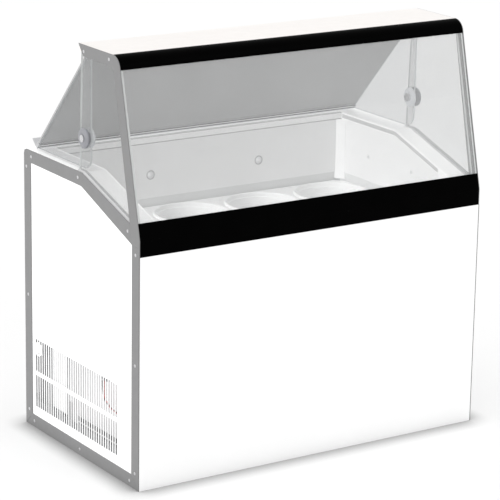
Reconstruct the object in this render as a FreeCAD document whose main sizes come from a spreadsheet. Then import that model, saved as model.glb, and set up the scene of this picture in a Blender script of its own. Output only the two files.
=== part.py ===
import FreeCAD, Part
import math
import os
import Sketcher

# Glass-canopied dipping freezer: a white insulated chest on a grey riveted side
# frame, with a sloped front glass, fixed side glasses and a rear lid that swings
# under the canopy.  Millimetres, +Z up, front towards -Y, origin on the floor
# under the middle of the case.

V = FreeCAD.Vector
doc = FreeCAD.newDocument("dipping_freezer")

# ------------------------------------------------------------------ dimensions
sheet = doc.addObject("Spreadsheet::Sheet", "Dims")
DIMS = [
    ("case_width", 1200.0), ("case_depth", 685.0), ("case_top", 1246.0),
    ("rail_height", 870.0), ("kink_depth", 331.0), ("rail_slope", 0.3162),
    ("skin", 2.0), ("strip_gap", 1.0), ("post_rear", 42.7), ("post_front", 42.5),
    ("strip_low", 39.5), ("strip_rail", 38.0), ("front_panel_top", 696.0),
    ("knee_height", 745.0), ("band_top", 792.0), ("glass_slope", 0.2389),
    ("upper_band_low", 1208.0), ("shelf_front", 152.0), ("shelf_rear", 346.0),
    ("shelf_deep", 24.0), ("glass_thick", 6.0), ("side_glass_in", 12.0),
    ("wing_in", 22.0), ("wing_thick", 5.0), ("hub_depth", 331.0),
    ("hub_height", 970.0), ("hub_radius", 30.0), ("hinge_pin", 6.0),
    ("well_side", 82.0), ("well_rear", 621.0), ("well_floor", 370.0),
    ("cap_thick", 4.0), ("cap_lip", 20.0), ("front_cap_top", 766.0), ("lining_low", 677.0),
    ("lining_thick", 3.0), ("liner_thick", 2.0), ("plate_low", 644.0),
    ("plate_thick", 6.0), ("ring_in", 113.0), ("ring_out", 121.0),
    ("ring_pitch", 258.0), ("ring_proud", 7.0), ("foam_low", 305.0),
    ("slot_pitch", 13.89), ("slot_width", 9.8), ("grille_front", 127.0),
    ("grille_low", 69.0), ("grille_bar_low", 171.0), ("grille_bar_top", 184.0),
    ("grille_top", 286.0), ("pan_floor", 8.0), ("pan_flange", 90.0),
    ("shell_radius", 78.0), ("fan_radius", 96.0), ("fan_height", 158.0),
    ("lid_reach", 165.3), ("lid_thick", 6.0),
]
for row, (alias, value) in enumerate(DIMS, start=1):
    sheet.set("A%d" % row, alias)
    sheet.set("B%d" % row, str(value))
    sheet.setAlias("B%d" % row, alias)
doc.recompute()


class Q:
    """A size that knows its value and the sheet formula behind it."""

    def __init__(self, value, text):
        self.v = float(value)
        self.s = text

    @staticmethod
    def of(other):
        return other if isinstance(other, Q) else Q(other, "%.6g" % other)

    def __add__(self, other):
        o = Q.of(other)
        return Q(self.v + o.v, "(%s + %s)" % (self.s, o.s))

    def __radd__(self, other):
        return Q.of(other) + self

    def __sub__(self, other):
        o = Q.of(other)
        return Q(self.v - o.v, "(%s - %s)" % (self.s, o.s))

    def __rsub__(self, other):
        return Q.of(other) - self

    def __mul__(self, other):
        o = Q.of(other)
        return Q(self.v * o.v, "(%s * %s)" % (self.s, o.s))

    def __rmul__(self, other):
        return Q.of(other) * self

    def __truediv__(self, other):
        o = Q.of(other)
        return Q(self.v / o.v, "(%s / %s)" % (self.s, o.s))

    def __neg__(self):
        return Q(-self.v, "(0 - %s)" % self.s)


D = {alias: Q(value, "Dims." + alias) for alias, value in DIMS}
W, DEP, TOP = D["case_width"], D["case_depth"], D["case_top"]
SK = D["skin"]


def num(q):
    return q.v if isinstance(q, Q) else float(q)


def fy(depth):
    """Depth measured back from the front face, as a row Y."""
    return depth - DEP / 2 if isinstance(depth, Q) else Q.of(depth) - DEP / 2


def fx(inset):
    """Inset from the left outer face, as a row X."""
    return Q.of(inset) - W / 2


def rail_z(depth, drop=0.0):
    """Height of the sloped rail line at a depth, less a drop."""
    return D["rail_height"] - D["rail_slope"] * (D["kink_depth"] - depth) - drop


def front_y(height, back=0.0):
    """Depth of the sloped front line at a height, plus an offset behind it."""
    return D["glass_slope"] * (Q.of(height) - D["knee_height"]) + back


NODES = []


def keep(obj, label):
    obj.Label = label
    NODES.append(obj)
    return obj


def bind(obj, prop, q):
    if isinstance(q, Q):
        obj.setExpression(prop, q.s)
    else:
        head, _, tail = prop.partition(".")
        if tail:
            place = obj.Placement
            base = place.Base
            setattr(base, tail.split(".")[-1], float(q))
            place.Base = base
            obj.Placement = place
        else:
            setattr(obj, prop, float(q))


def place(obj, x=0.0, y=0.0, z=0.0):
    obj.Placement = FreeCAD.Placement(V(num(x), num(y), num(z)), FreeCAD.Rotation())
    for axis, q in (("x", x), ("y", y), ("z", z)):
        if isinstance(q, Q):
            obj.setExpression("Placement.Base." + axis, q.s)


def plane_of(body, role):
    for feature in body.Origin.OriginFeatures:
        if feature.Role == role:
            return feature
    raise ValueError(role)


def sketch(body, role, loops, circles=()):
    """Closed loops of points; an entry ("arc", mid, end) runs an arc to end."""
    sk = body.newObject("Sketcher::SketchObject", body.Name + "_sketch")
    sk.AttachmentSupport = [(plane_of(body, role), "")]
    sk.MapMode = "FlatFace"
    cons, bound = [], []
    for loop in loops:
        first = loop[0]
        last = first
        ids, arcs = [], []
        for step in list(loop[1:]) + [first]:
            a = V(num(last[0]), num(last[1]), 0)
            if step[0] == "arc":
                m, b = step[1], step[2]
                geo = Part.Arc(a, V(num(m[0]), num(m[1]), 0), V(num(b[0]), num(b[1]), 0))
                target = b
                arcs.append(True)
            else:
                target = step
                b = V(num(step[0]), num(step[1]), 0)
                if (b - a).Length < 1e-6:
                    continue
                geo = Part.LineSegment(a, b)
                arcs.append(False)
            ids.append((sk.addGeometry(geo, False), last))
            last = target
        if any(arcs):
            continue
        for n, (gid, start) in enumerate(ids):
            nxt = ids[(n + 1) % len(ids)][0]
            cons.append(Sketcher.Constraint("Coincident", gid, 2, nxt, 1))
        for gid, start in ids:
            for kind, q in (("DistanceX", start[0]), ("DistanceY", start[1])):
                if abs(num(q)) < 1e-6:
                    cons.append(Sketcher.Constraint("PointOnObject", gid, 1,
                                                    -2 if kind == "DistanceX" else -1))
                else:
                    if isinstance(q, Q):
                        bound.append((len(cons), q))
                    cons.append(Sketcher.Constraint(kind, -1, 1, gid, 1, num(q)))
    for cx, cy, r in circles:
        gid = sk.addGeometry(Part.Circle(V(num(cx), num(cy), 0), V(0, 0, 1), num(r)), False)
        if isinstance(r, Q):
            bound.append((len(cons), r))
        cons.append(Sketcher.Constraint("Radius", gid, num(r)))
        for kind, q in (("DistanceX", cx), ("DistanceY", cy)):
            if abs(num(q)) < 1e-6:
                cons.append(Sketcher.Constraint("PointOnObject", gid, 3,
                                                -2 if kind == "DistanceX" else -1))
            else:
                if isinstance(q, Q):
                    bound.append((len(cons), q))
                cons.append(Sketcher.Constraint(kind, -1, 1, gid, 3, num(q)))
    if cons:
        sk.addConstraint(cons)
    for index, q in bound:
        sk.setExpression("Constraints[%d]" % index, q.s)
    return sk


def new_body(label, whole=True):
    body = doc.addObject("PartDesign::Body", label)
    return keep(body, label) if whole else body


def pad(body, role, loops, length, circles=(), back=False):
    feature = body.newObject("PartDesign::Pad", body.Name + "_pad")
    feature.Profile = sketch(body, role, loops, circles)
    feature.Length = num(length)
    bind(feature, "Length", length)
    feature.Reversed = back
    body.Tip = feature
    return feature


def pocket(body, role, loops, length=None, circles=(), back=False, both=False):
    feature = body.newObject("PartDesign::Pocket", body.Name + "_pocket")
    feature.Profile = sketch(body, role, loops, circles)
    if length is None:
        feature.Type = "ThroughAll"
    else:
        feature.Length = num(length)
        bind(feature, "Length", length)
    feature.Reversed = back
    if both:
        feature.Midplane = True
    body.Tip = feature
    return feature


def side_body(label, loops, x0, length, circles=(), whole=True):
    """A plate whose outline lies in the side view, X from x0 to x0 + length."""
    body = new_body(label, whole)
    place(body, x=x0)
    pad(body, "YZ_Plane", loops, length, circles)
    return body


def box(name, x0, y0, z0, lx, ly, lz):
    obj = doc.addObject("Part::Box", name)
    for prop, q in (("Length", lx), ("Width", ly), ("Height", lz)):
        setattr(obj, prop, num(q))
        bind(obj, prop, q)
    place(obj, x0, y0, z0)
    return obj


def cyl(name, r, h, x=0.0, y=0.0, z=0.0, axis="z"):
    obj = doc.addObject("Part::Cylinder", name)
    obj.Radius, obj.Height = num(r), num(h)
    bind(obj, "Radius", r)
    bind(obj, "Height", h)
    turn = {"z": FreeCAD.Rotation(), "x": FreeCAD.Rotation(V(0, 1, 0), 90),
            "y": FreeCAD.Rotation(V(1, 0, 0), -90)}[axis]
    obj.Placement = FreeCAD.Placement(V(num(x), num(y), num(z)), turn)
    for ax, q in (("x", x), ("y", y), ("z", z)):
        if isinstance(q, Q):
            obj.setExpression("Placement.Base." + ax, q.s)
    return obj


def fuse(name, *parts):
    obj = doc.addObject("Part::MultiFuse", name)
    obj.Shapes = list(parts)
    return obj


def cut(name, base, *tools):
    tool = tools[0] if len(tools) == 1 else fuse(name + "_tools", *tools)
    obj = doc.addObject("Part::Cut", name)
    obj.Base, obj.Tool = base, tool
    return obj


def group(label, *parts):
    """Like pieces that stand apart, kept together as separate solids."""
    return keep(fuse(label, *parts), label)


def feature(label, shape, whole=True):
    obj = doc.addObject("Part::Feature", label)
    obj.Shape = shape
    return keep(obj, label) if whole else obj


def tube_shape(points, r, bend):
    """Straight runs joined by tangent arcs, swept with a round section."""
    pts = [V(*p) for p in points]
    edges, start = [], pts[0]
    for i in range(1, len(pts) - 1):
        a, p, b = pts[i - 1], pts[i], pts[i + 1]
        u, w = (a - p), (b - p)
        lu, lw = u.Length, w.Length
        u.normalize()
        w.normalize()
        turn = math.pi - u.getAngle(w)
        reach = min(bend * math.tan(turn / 2), 0.45 * lu, 0.45 * lw)
        radius = reach / math.tan(turn / 2)
        p1, p2 = p + u * reach, p + w * reach
        bis = u + w
        bis.normalize()
        centre = p + bis * (math.hypot(radius, reach))
        mid = centre - bis * radius
        edges.append(Part.LineSegment(start, p1).toShape())
        edges.append(Part.Arc(p1, mid, p2).toShape())
        start = p2
    edges.append(Part.LineSegment(start, pts[-1]).toShape())
    wire = Part.Wire(edges)
    d = pts[1] - pts[0]
    ring = Part.Wire([Part.makeCircle(r, pts[0], d)])
    solid = wire.makePipeShell([ring], True, False)
    expect = math.pi * r * r * wire.Length
    if solid.Volume < 0:
        solid.reverse()
    if abs(solid.Volume - expect) > 0.03 * expect:
        raise ValueError("tube volume %g against %g" % (solid.Volume, expect))
    return solid


# ------------------------------------------------------------- side frame strips
# Five grey strips per side: rear post, low strip, front post, bent rail and the
# canopy pillar with its gusset.  Each is a flat plate with countersunk-free
# pan screws through plain holes.
PR, PF, LOW = D["post_rear"], D["post_front"], D["strip_low"]
RZ, KY = D["rail_height"], D["kink_depth"]
REAR = DEP - 1.0
SCREWS = {
    "rear_post": [(669, 816), (664, 417), (663, 49)],
    "low_strip": [(631, 19), (346.5, 18), (53, 17)],
    "front_post": [(22.5, 48), (22.5, 373), (22, 699)],
    "top_rail": [(639, 851), (353, 851), (66, 759)],
    "pillar": [(316, 1226), (172, 1229)],
}
corner = 0.2929 * 15
STRIPS = {
    "rear_post": [(fy(REAR), Q.of(0)), (fy(REAR), RZ - 15),
                  (fy(REAR - corner), RZ - corner),
                  (fy(DEP - PR), RZ - D["strip_rail"]), (fy(DEP - PR), LOW)],
    "low_strip": [(fy(2.2), Q.of(0)), (fy(REAR - 2.2), Q.of(0)),
                  (fy(DEP - PR - 0.4), LOW), (fy(PF + 0.4), LOW)],
    "front_post": [(fy(2.2), Q.of(0.6)), (fy(PF), LOW + 0.5), (fy(PF), Q.of(722.0)),
                   (fy(0.3), Q.of(722.0)), (fy(0.3), D["front_panel_top"] + 0.4),
                   (fy(2.2), D["front_panel_top"] + 0.4)],
    "top_rail": [(fy(REAR - corner - 0.6), RZ - corner + 0.25), (fy(REAR - 15.0), RZ),
                 (fy(KY), RZ), (fy(55.0), rail_z(Q.of(55.0))), (fy(43.1), Q.of(724.5)),
                 (fy(333.0), RZ - D["strip_rail"] - 3.0),
                 (fy(DEP - PR - 0.5), RZ - D["strip_rail"])],
}
PILLAR = [(fy(0.3), Q.of(722.4)), (fy(42.4), Q.of(722.4)),
          (fy(54.6), rail_z(Q.of(54.6), -0.4)),
          (fy(61.9), Q.of(820.0)), (fy(143.5), Q.of(1190.0)),
          ("arc", (fy(149.5), Q.of(1205.0)), (fy(164.0), Q.of(1211.5))),
          (fy(319.3), Q.of(1211.5)), (fy(346.5), TOP - 0.2), (fy(150.5), TOP - 0.2),
          ("arc", (fy(123.4), Q.of(1234.6)), (fy(110.8), Q.of(1208.0))),
          (fy(0.3), D["knee_height"])]


def spots(key):
    return [(fy(float(a)), Q.of(float(b)), 2.2) for a, b in SCREWS[key]]


FRAME = {key: [] for key in list(STRIPS) + ["pillar"]}
for side in ("left", "right"):
    x0 = fx(D["strip_gap"]) if side == "left" else W / 2 - D["strip_gap"] - SK
    for key, loop in STRIPS.items():
        name = "frame_" + key + "_" + side
        body = side_body(name, [loop], x0, SK, spots(key), whole=False)
        FRAME[key].append(body)
        if key == "rear_post":
            # rear flange turned round the back corner
            inner = 18.0
            p = body.newObject("PartDesign::Pad", name + "_flange")
            p.Profile = sketch(body, "YZ_Plane", [[(fy(REAR - 1.8), Q.of(0)), (fy(REAR), Q.of(0)),
                                                  (fy(REAR), RZ - 16), (fy(REAR - 1.8), RZ - 16)]])
            p.Length = inner + 2.0
            if side == "right":
                p.Profile[0].AttachmentOffset = FreeCAD.Placement(V(0, 0, 2.0), FreeCAD.Rotation())
                p.Reversed = True
            body.Tip = p
    name = "frame_pillar_" + side
    body = side_body(name, [PILLAR], x0, SK, spots("pillar"), whole=False)
    FRAME["pillar"].append(body)
    # front flange of the pillar, behind the front glass
    off = 10.6
    lip = [(fy(front_y(800.0, off)), Q.of(800.0)), (fy(front_y(800.0, off + 2.2)), Q.of(800.0)),
           (fy(front_y(1196.0, off + 2.2)), Q.of(1196.0)), (fy(front_y(1196.0, off)), Q.of(1196.0))]
    p = body.newObject("PartDesign::Pad", name + "_flange")
    p.Profile = sketch(body, "YZ_Plane", [lip])
    p.Length = 8.6
    if side == "right":
        p.Profile[0].AttachmentOffset = FreeCAD.Placement(V(0, 0, 2.0), FreeCAD.Rotation())
        p.Reversed = True
    body.Tip = p

for key, label in (("rear_post", "frame_rear_posts"), ("low_strip", "frame_low_strips"),
                   ("front_post", "frame_front_posts"), ("top_rail", "frame_top_rails"),
                   ("pillar", "canopy_pillars")):
    group(label, *FRAME[key])

heads = []
for side in ("left", "right"):
    for key, points in SCREWS.items():
        for n, (a, b) in enumerate(points):
            out = fx(0.0) if side == "left" else W / 2 - 1.0
            stem = fx(0.5) if side == "left" else W / 2 - 2.9
            head = cyl("screw_head_%s_%s_%d" % (side, key, n), 4.6, 0.98, out, fy(float(a)), float(b), "x")
            shank = cyl("screw_stem_%s_%s_%d" % (side, key, n), 2.15, 2.4, stem, fy(float(a)), float(b), "x")
            heads += [head, shank]

# ------------------------------------------------------------------- outer skins
front = new_body("front_panel")
place(front, x=-W / 2)
FT = D["front_panel_top"]
pad(front, "YZ_Plane", [[(fy(0.0), Q.of(0)), (fy(2.0), Q.of(0)), (fy(2.0), FT), (fy(0.0), FT)]], W)
hem = front.newObject("PartDesign::Pad", "front_panel_hems")
hem.Profile = sketch(front, "YZ_Plane", [
    [(fy(1.9), Q.of(4)), (fy(16.0), Q.of(4)), (fy(16.0), Q.of(6)), (fy(1.9), Q.of(6))],
    [(fy(1.9), FT - 4), (fy(16.0), FT - 4), (fy(16.0), FT - 2), (fy(1.9), FT - 2)]])
hem.Length = num(W) - 10.4
hem.Profile[0].AttachmentOffset = FreeCAD.Placement(V(0, 0, 5.2), FreeCAD.Rotation())
front.Tip = hem

PANEL = [(fy(30.0), Q.of(27.0)), (fy(658.0), Q.of(27.0)), (fy(658.0), RZ - 22),
         (fy(336.0), RZ - 22), (fy(48.0), Q.of(752.0)), (fy(30.0), Q.of(735.0))]
GF, SPI = D["grille_front"], D["slot_pitch"]
for side in ("left", "right"):
    x0 = fx(D["strip_gap"] + SK) if side == "left" else W / 2 - D["strip_gap"] - SK * 2
    body = side_body("side_panel_" + side, [PANEL], x0, SK)
    sw = D["slot_width"]
    rows = []
    for lo, hi in ((D["grille_low"], D["grille_bar_low"]), (D["grille_bar_top"], D["grille_top"])):
        rows.append([(fy(GF), lo), (fy(GF + sw), lo), (fy(GF + sw), hi), (fy(GF), hi)])
    slots = pocket(body, "YZ_Plane", rows, both=True)
    doc.recompute()
    pat = body.newObject("PartDesign::LinearPattern", "slot_pattern_" + side)
    pat.Originals = [slots]
    pat.Direction = (plane_of(body, "Y_Axis"), [""])
    pat.Length = num(SPI) * 35
    pat.setExpression("Length", (SPI * 35).s)
    pat.Occurrences = 36
    body.Tip = pat
    if side == "left":
        pocket(body, "YZ_Plane", [], circles=[(fy(603.0), Q.of(258.0), 15.5)], both=True)

rear = new_body("rear_panel")
place(rear, y=fy(REAR - 2.0))
RW = W / 2 - 3.4
pad(rear, "XZ_Plane", [[(-RW, Q.of(8.0)), (RW, Q.of(8.0)), (RW, RZ - 18), (-RW, RZ - 18)]], SK)
LOUV = []
for k in range(14):
    z0 = 64.0 + 16.0 * k
    LOUV.append([(Q.of(-540.0), Q.of(z0)), (Q.of(-240.0), Q.of(z0)), (Q.of(-240.0), Q.of(z0 + 6.0)), (Q.of(-540.0), Q.of(z0 + 6.0))])
    LOUV.append([(Q.of(-20.0), Q.of(z0)), (Q.of(300.0), Q.of(z0)), (Q.of(300.0), Q.of(z0 + 6.0)), (Q.of(-20.0), Q.of(z0 + 6.0))])
pocket(rear, "XZ_Plane", LOUV, circles=[(Q.of(450.0), Q.of(120.0), 11.0)], both=True)
for sx in (-1, 1):
    for zz in (60.0, 300.0, 560.0, 800.0):
        heads.append(cyl("rear_head_%d_%d" % (sx, zz), 4.6, 1.0, W / 2 * sx - 11.5 * sx, fy(REAR), zz, "y"))
group("frame_screws", *heads)

# ------------------------------------------------------------------ base and feet
PZ, PFl = D["pan_floor"], D["pan_flange"]
pan = new_body("base_pan")
IN = 5.3
pad(pan, "XY_Plane", [[(fx(IN), fy(17.0)), (W / 2 - IN, fy(17.0)), (W / 2 - IN, fy(DEP - 5.5)), (fx(IN), fy(DEP - 5.5))]], PFl - PZ)
place(pan, z=PZ)
doc.recompute()
pocket(pan, "XY_Plane", [[(fx(IN + 2), fy(19.0)), (W / 2 - IN - 2, fy(19.0)), (W / 2 - IN - 2, fy(DEP - 7.5)), (fx(IN + 2), fy(DEP - 7.5))]], None, back=True)
pan.Tip.Profile[0].AttachmentOffset = FreeCAD.Placement(V(0, 0, 2.0), FreeCAD.Rotation())
feet = []
for sx in (-1, 1):
    for dy in (60.0, 625.0):
        feet.append(cyl("glide_%d_%d" % (sx, dy), 22.0, PZ, W / 2 * sx - 70.0 * sx, fy(dy), 0.0))
keep(fuse("glide_feet", *feet), "glide_feet")
keep(cut("compartment_deck", box("deck_sheet", fx(IN), fy(17.0), D["foam_low"] - 2.3, W - 2 * IN, DEP - 22.5, SK),
         cyl("deck_drain_hole", 12.5, 12.0, 0.0, 9.0, 298.0), cyl("deck_pipe_hole", 8.0, 12.0, -194.0, 250.0, 298.0)), "compartment_deck")

# --------------------------------------------------------------------- insulation
WS, WR = D["well_side"], D["well_rear"]
foam = new_body("insulation")
place(foam, x=fx(IN + 0.7))
FOAM = [(fy(17.5), D["foam_low"]), (fy(DEP - 5.5), D["foam_low"]), (fy(DEP - 5.5), RZ - 18),
        (fy(KY), RZ - 18), (fy(66.5), rail_z(Q.of(66.5), 18.0)), (fy(66.5), D["front_cap_top"] - 11.0),
        (fy(24.0), D["front_cap_top"] - 11.0), (fy(17.5), Q.of(735.0))]
pad(foam, "YZ_Plane", [FOAM], W - 2 * (IN + 0.7))
doc.recompute()
cav = foam.newObject("PartDesign::Pocket", "insulation_cavity")
c0 = 66.0
sk = sketch(foam, "XY_Plane", [[(Q.of(c0 - IN - 0.7), fy(c0)), (W - c0 - IN - 0.7, fy(c0)), (W - c0 - IN - 0.7, fy(637.5)), (Q.of(c0 - IN - 0.7), fy(637.5))]])
sk.AttachmentOffset = FreeCAD.Placement(V(0, 0, 356.0), FreeCAD.Rotation())
cav.Profile = sk
cav.Type = "ThroughAll"
cav.Reversed = True
foam.Tip = cav
doc.recompute()
hole = foam.newObject("PartDesign::Pocket", "insulation_drain_hole")
sk = sketch(foam, "XY_Plane", [], circles=[(W / 2 - IN - 0.7, Q.of(9.0), 12.5), (Q.of(400.0), Q.of(250.0), 8.0)])
sk.AttachmentOffset = FreeCAD.Placement(V(0, 0, 357.0), FreeCAD.Rotation())
hole.Profile = sk
hole.Type = "ThroughAll"
foam.Tip = hole

# ---------------------------------------------------------------- liner and lining
LI = 78.6
LT = D["liner_thick"]
TX = W - 2 * (LI - LT)
WF = D["well_floor"]
tank_floor = new_body("tank_floor", whole=False)
place(tank_floor, x=fx(LI - LT), z=WF - LT)
pad(tank_floor, "XY_Plane", [[(0.0, fy(LI - LT)), (TX, fy(LI - LT)), (TX, fy(WR + 3.4 + LT)), (0.0, fy(WR + 3.4 + LT))]], LT)
doc.recompute()
pocket(tank_floor, "XY_Plane", [], None, circles=[(W / 2 - LI + LT, Q.of(9.0), 12.0)], both=True)
SEAM = 0.2
tank_front = box("tank_front", fx(LI - LT), fy(LI - LT), WF + SEAM, TX, LT, D["front_cap_top"] - 5.0 - WF - SEAM)
tank_rear = box("tank_rear", fx(LI - LT), fy(WR + 3.4), WF + SEAM, TX, LT, RZ - 6 - WF - SEAM)
ENDS = [(fy(LI + SEAM), WF + SEAM), (fy(WR + 3.4 - SEAM), WF + SEAM), (fy(WR + 3.4 - SEAM), RZ - 6), (fy(KY), RZ - 6),
        (fy(LI + 0.9), rail_z(Q.of(LI + 0.9), 6.0)), (fy(LI + 0.9), D["front_cap_top"] - 5.0),
        (fy(LI + SEAM), D["front_cap_top"] - 5.0)]
tank_ends = [side_body("tank_end_left", [ENDS], fx(LI - LT), LT, whole=False),
             side_body("tank_end_right", [ENDS], W / 2 - LI, LT, whole=False)]
group("liner_tank", tank_floor, tank_front, tank_rear, *tank_ends)

LL, LK = D["lining_low"], D["lining_thick"]
LTOP = RZ - D["cap_lip"] - 0.5
lr = box("lining_rear", fx(WS + 20.2), fy(WR), LL, W - 2 * WS - 40.4, LK, LTOP - LL)
lf = box("lining_front", fx(WS + 20.2), fy(WS - LK), LL, W - 2 * WS - 40.4, LK,
         D["front_cap_top"] - D["cap_lip"] - 1.0 - LL)
group("well_linings_long", lr, lf)
SIDE = [(fy(106.0), LL), (fy(WR - 23.4), LL), (fy(WR - 23.4), LTOP), (fy(KY), LTOP),
        (fy(106.0), rail_z(Q.of(106.0)) - D["cap_lip"] - 0.5)]
sides = []
for side in ("left", "right"):
    x0 = fx(WS - LK) if side == "left" else W / 2 - WS
    sides.append(side_body("lining_" + side, [SIDE], x0, LK, whole=False))
group("well_linings_side", *sides)

posts = []
for sx in (-1, 1):
    edge = W / 2 * sx
    for where, d_in, d_on, d_out, top in (
            ("rear", WR - 23.0, WR, WR + LK, LTOP),
            ("front", WS + 23.6, WS, WS - LK, D["front_cap_top"] - D["cap_lip"] - 1.0)):
        post = new_body("corner_post_%s_%s" % (where, "left" if sx < 0 else "right"), whole=False)
        place(post, z=655.0)
        pad(post, "XY_Plane", [[(edge - (WS + 19.8) * sx, fy(d_out)), (edge - (WS + 19.8) * sx, fy(d_on)),
                                (edge - WS * sx, fy(d_in)), (edge - (WS - LK) * sx, fy(d_in)),
                                (edge - (WS - LK) * sx, fy(d_out))]], top - 655.0)
        posts.append(post)
group("corner_posts", *posts)

buttons = []
for cx in (-195.0, 201.0):
    ball = doc.addObject("Part::Sphere", "button_ball_%d" % (cx + 500))
    ball.Radius = 15.0
    ball.Placement = FreeCAD.Placement(V(cx, num(fy(WR)) + 8.2, 750.0), FreeCAD.Rotation())
    half = box("button_half_%d" % (cx + 500), cx - 20, fy(WR - 20.0), 730.0, 40.0, 19.95, 40.0)
    com = doc.addObject("Part::Common", "button_%d" % (cx + 500))
    com.Base, com.Tool = ball, half
    buttons.append(com)
side_heads = buttons
for sx in (-1, 1):
    for dd in (239.0, 468.0):
        x_at = fx(WS) if sx < 0 else W / 2 - WS - 2.5
        side_heads.append(cyl("lining_head_%d_%d" % (sx, dd), 5.0, 2.5, x_at, fy(dd), 755.0, "x"))
group("lining_fixings", *side_heads)

# -------------------------------------------------------------------- rim caps
CT, CL = D["cap_thick"], D["cap_lip"]
CAPIN = 23.0
CAPOUT = 3.4
rim = new_body("rim_cap_rear")
place(rim, x=fx(CAPOUT))
pad(rim, "YZ_Plane", [[(fy(WR), RZ - CT), (fy(DEP - 6.6), RZ - CT), (fy(DEP - 6.6), RZ - 17.7), (fy(DEP - 4.6), RZ - 17.7),
                       (fy(DEP - 4.6), RZ), (fy(WR), RZ)]], W - 2 * CAPOUT)
lip = rim.newObject("PartDesign::Pad", "rim_cap_rear_lip")
lip.Profile = sketch(rim, "YZ_Plane", [[(fy(WR), RZ - CL), (fy(WR + 3.0), RZ - CL), (fy(WR + 3.0), RZ - CT + 0.5), (fy(WR), RZ - CT + 0.5)]])
lip.Length = num(W - 2 * WS) - 0.8
lip.Profile[0].AttachmentOffset = FreeCAD.Placement(V(0, 0, num(WS) + 0.4 - CAPOUT), FreeCAD.Rotation())
rim.Tip = lip
caps = []
for side in ("left", "right"):
    name = "rim_cap_" + side
    x0 = fx(CAPIN) if side == "left" else W / 2 - WS
    body = new_body(name, whole=False)
    caps.append(body)
    place(body, x=x0)
    skinl = [(fy(WR - 0.4), RZ - CT), (fy(WR - 0.4), RZ), (fy(KY), RZ), (fy(20.0), rail_z(Q.of(20.0))),
             (fy(20.0), rail_z(Q.of(20.0), 4.0)), (fy(KY), RZ - CT)]
    pad(body, "YZ_Plane", [skinl], WS - CAPIN)
    FC = D["front_cap_top"]
    lip = [(fy(WR - 0.4), RZ - CT + 0.5), (fy(WR - 0.4), RZ - CL), (fy(KY), RZ - CL), (fy(105.4), rail_z(Q.of(105.4)) - CL),
           (fy(105.4), FC - CL), (fy(WS + 0.3), FC - CL), (fy(WS + 0.3), FC - CT), (fy(20.0), FC - CT),
           (fy(20.0), rail_z(Q.of(20.0)) - CT + 0.5), (fy(KY), RZ - CT + 0.5)]
    p = body.newObject("PartDesign::Pad", name + "_lip")
    p.Profile = sketch(body, "YZ_Plane", [lip])
    p.Length = 3.0
    if side == "left":
        p.Profile[0].AttachmentOffset = FreeCAD.Placement(V(0, 0, num(WS) - CAPIN - 3.0), FreeCAD.Rotation())
    body.Tip = p
    # behind the fixed glass the cap reaches the frame strip
    p = body.newObject("PartDesign::Pad", name + "_wide")
    p.Profile = sketch(body, "YZ_Plane", [[(fy(WR - 0.4), RZ - CT), (fy(WR - 0.4), RZ), (fy(366.0), RZ), (fy(366.0), RZ - CT)]])
    p.Length = CAPIN - CAPOUT + 2.0
    shift = -(CAPIN - CAPOUT) if side == "left" else num(WS) - CAPIN - 2.0
    p.Profile[0].AttachmentOffset = FreeCAD.Placement(V(0, 0, shift), FreeCAD.Rotation())
    body.Tip = p
group("rim_caps_side", *caps)
rim = new_body("rim_cap_front")
place(rim, x=fx(WS + 0.4))
pad(rim, "YZ_Plane", [[(fy(WS), FC), (fy(20.0), FC), (fy(20.0), FC - CT), (fy(WS - 3.0), FC - CT), (fy(WS - 3.0), FC - CL), (fy(WS), FC - CL)]],
    W - 2 * WS - 0.8)

# ------------------------------------------------------------ canopy glass and trim
BAND = 3.4
KN = D["knee_height"]
low = new_body("front_trim_lower")
place(low, x=fx(BAND))
LOWT = [(fy(0.0), FT + 0.3), (fy(0.0), KN), (fy(front_y(D["band_top"])), D["band_top"]),
        (fy(front_y(D["band_top"], 3.1)), D["band_top"] - 0.7), (fy(3.0), KN - 0.4), (fy(3.0), FT + 0.3)]
pad(low, "YZ_Plane", [LOWT], W - 2 * BAND)
c_off = 10.1
gl = new_body("front_glass")
place(gl, x=fx(BAND + 0.8))
GO = 3.6
GT = D["glass_thick"] / math.cos(math.atan(D["glass_slope"].v))
pad(gl, "YZ_Plane", [[(fy(front_y(766.0, GO)), Q.of(766.0)), (fy(front_y(766.0, GO) + GT), Q.of(766.0)),
                      (fy(front_y(1216.0, GO) + GT), Q.of(1216.0)), (fy(front_y(1216.0, GO)), Q.of(1216.0))]],
    W - 2 * (BAND + 0.8))
seal = new_body("front_glass_seal")
place(seal, x=fx(BAND + 0.8))
s0 = 760.0
pad(seal, "YZ_Plane", [[(fy(front_y(s0, GO - 0.2)), Q.of(s0)), (fy(front_y(s0, GO) + GT + 2.6), Q.of(s0)),
                        (fy(front_y(782.0, GO) + GT + 2.6), Q.of(782.0)), (fy(front_y(782.0, GO) + GT + 0.1), Q.of(782.0)),
                        (fy(front_y(765.8, GO) + GT + 0.1), Q.of(765.8)), (fy(front_y(765.8, GO - 0.2)), Q.of(765.8))]],
    W - 2 * (BAND + 0.8))
upper = new_body("front_trim_upper")
place(upper, x=fx(BAND))
UP = [(fy(front_y(D["upper_band_low"])), D["upper_band_low"]),
      ("arc", (fy(123.0), Q.of(1234.9)), (fy(150.9), TOP)),
      (fy(150.9), TOP - 3.0),
      ("arc", (fy(125.8), Q.of(1233.0)), (fy(front_y(D["upper_band_low"], 3.2)), D["upper_band_low"]))]
pad(upper, "YZ_Plane", [UP], W - 2 * BAND)

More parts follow.
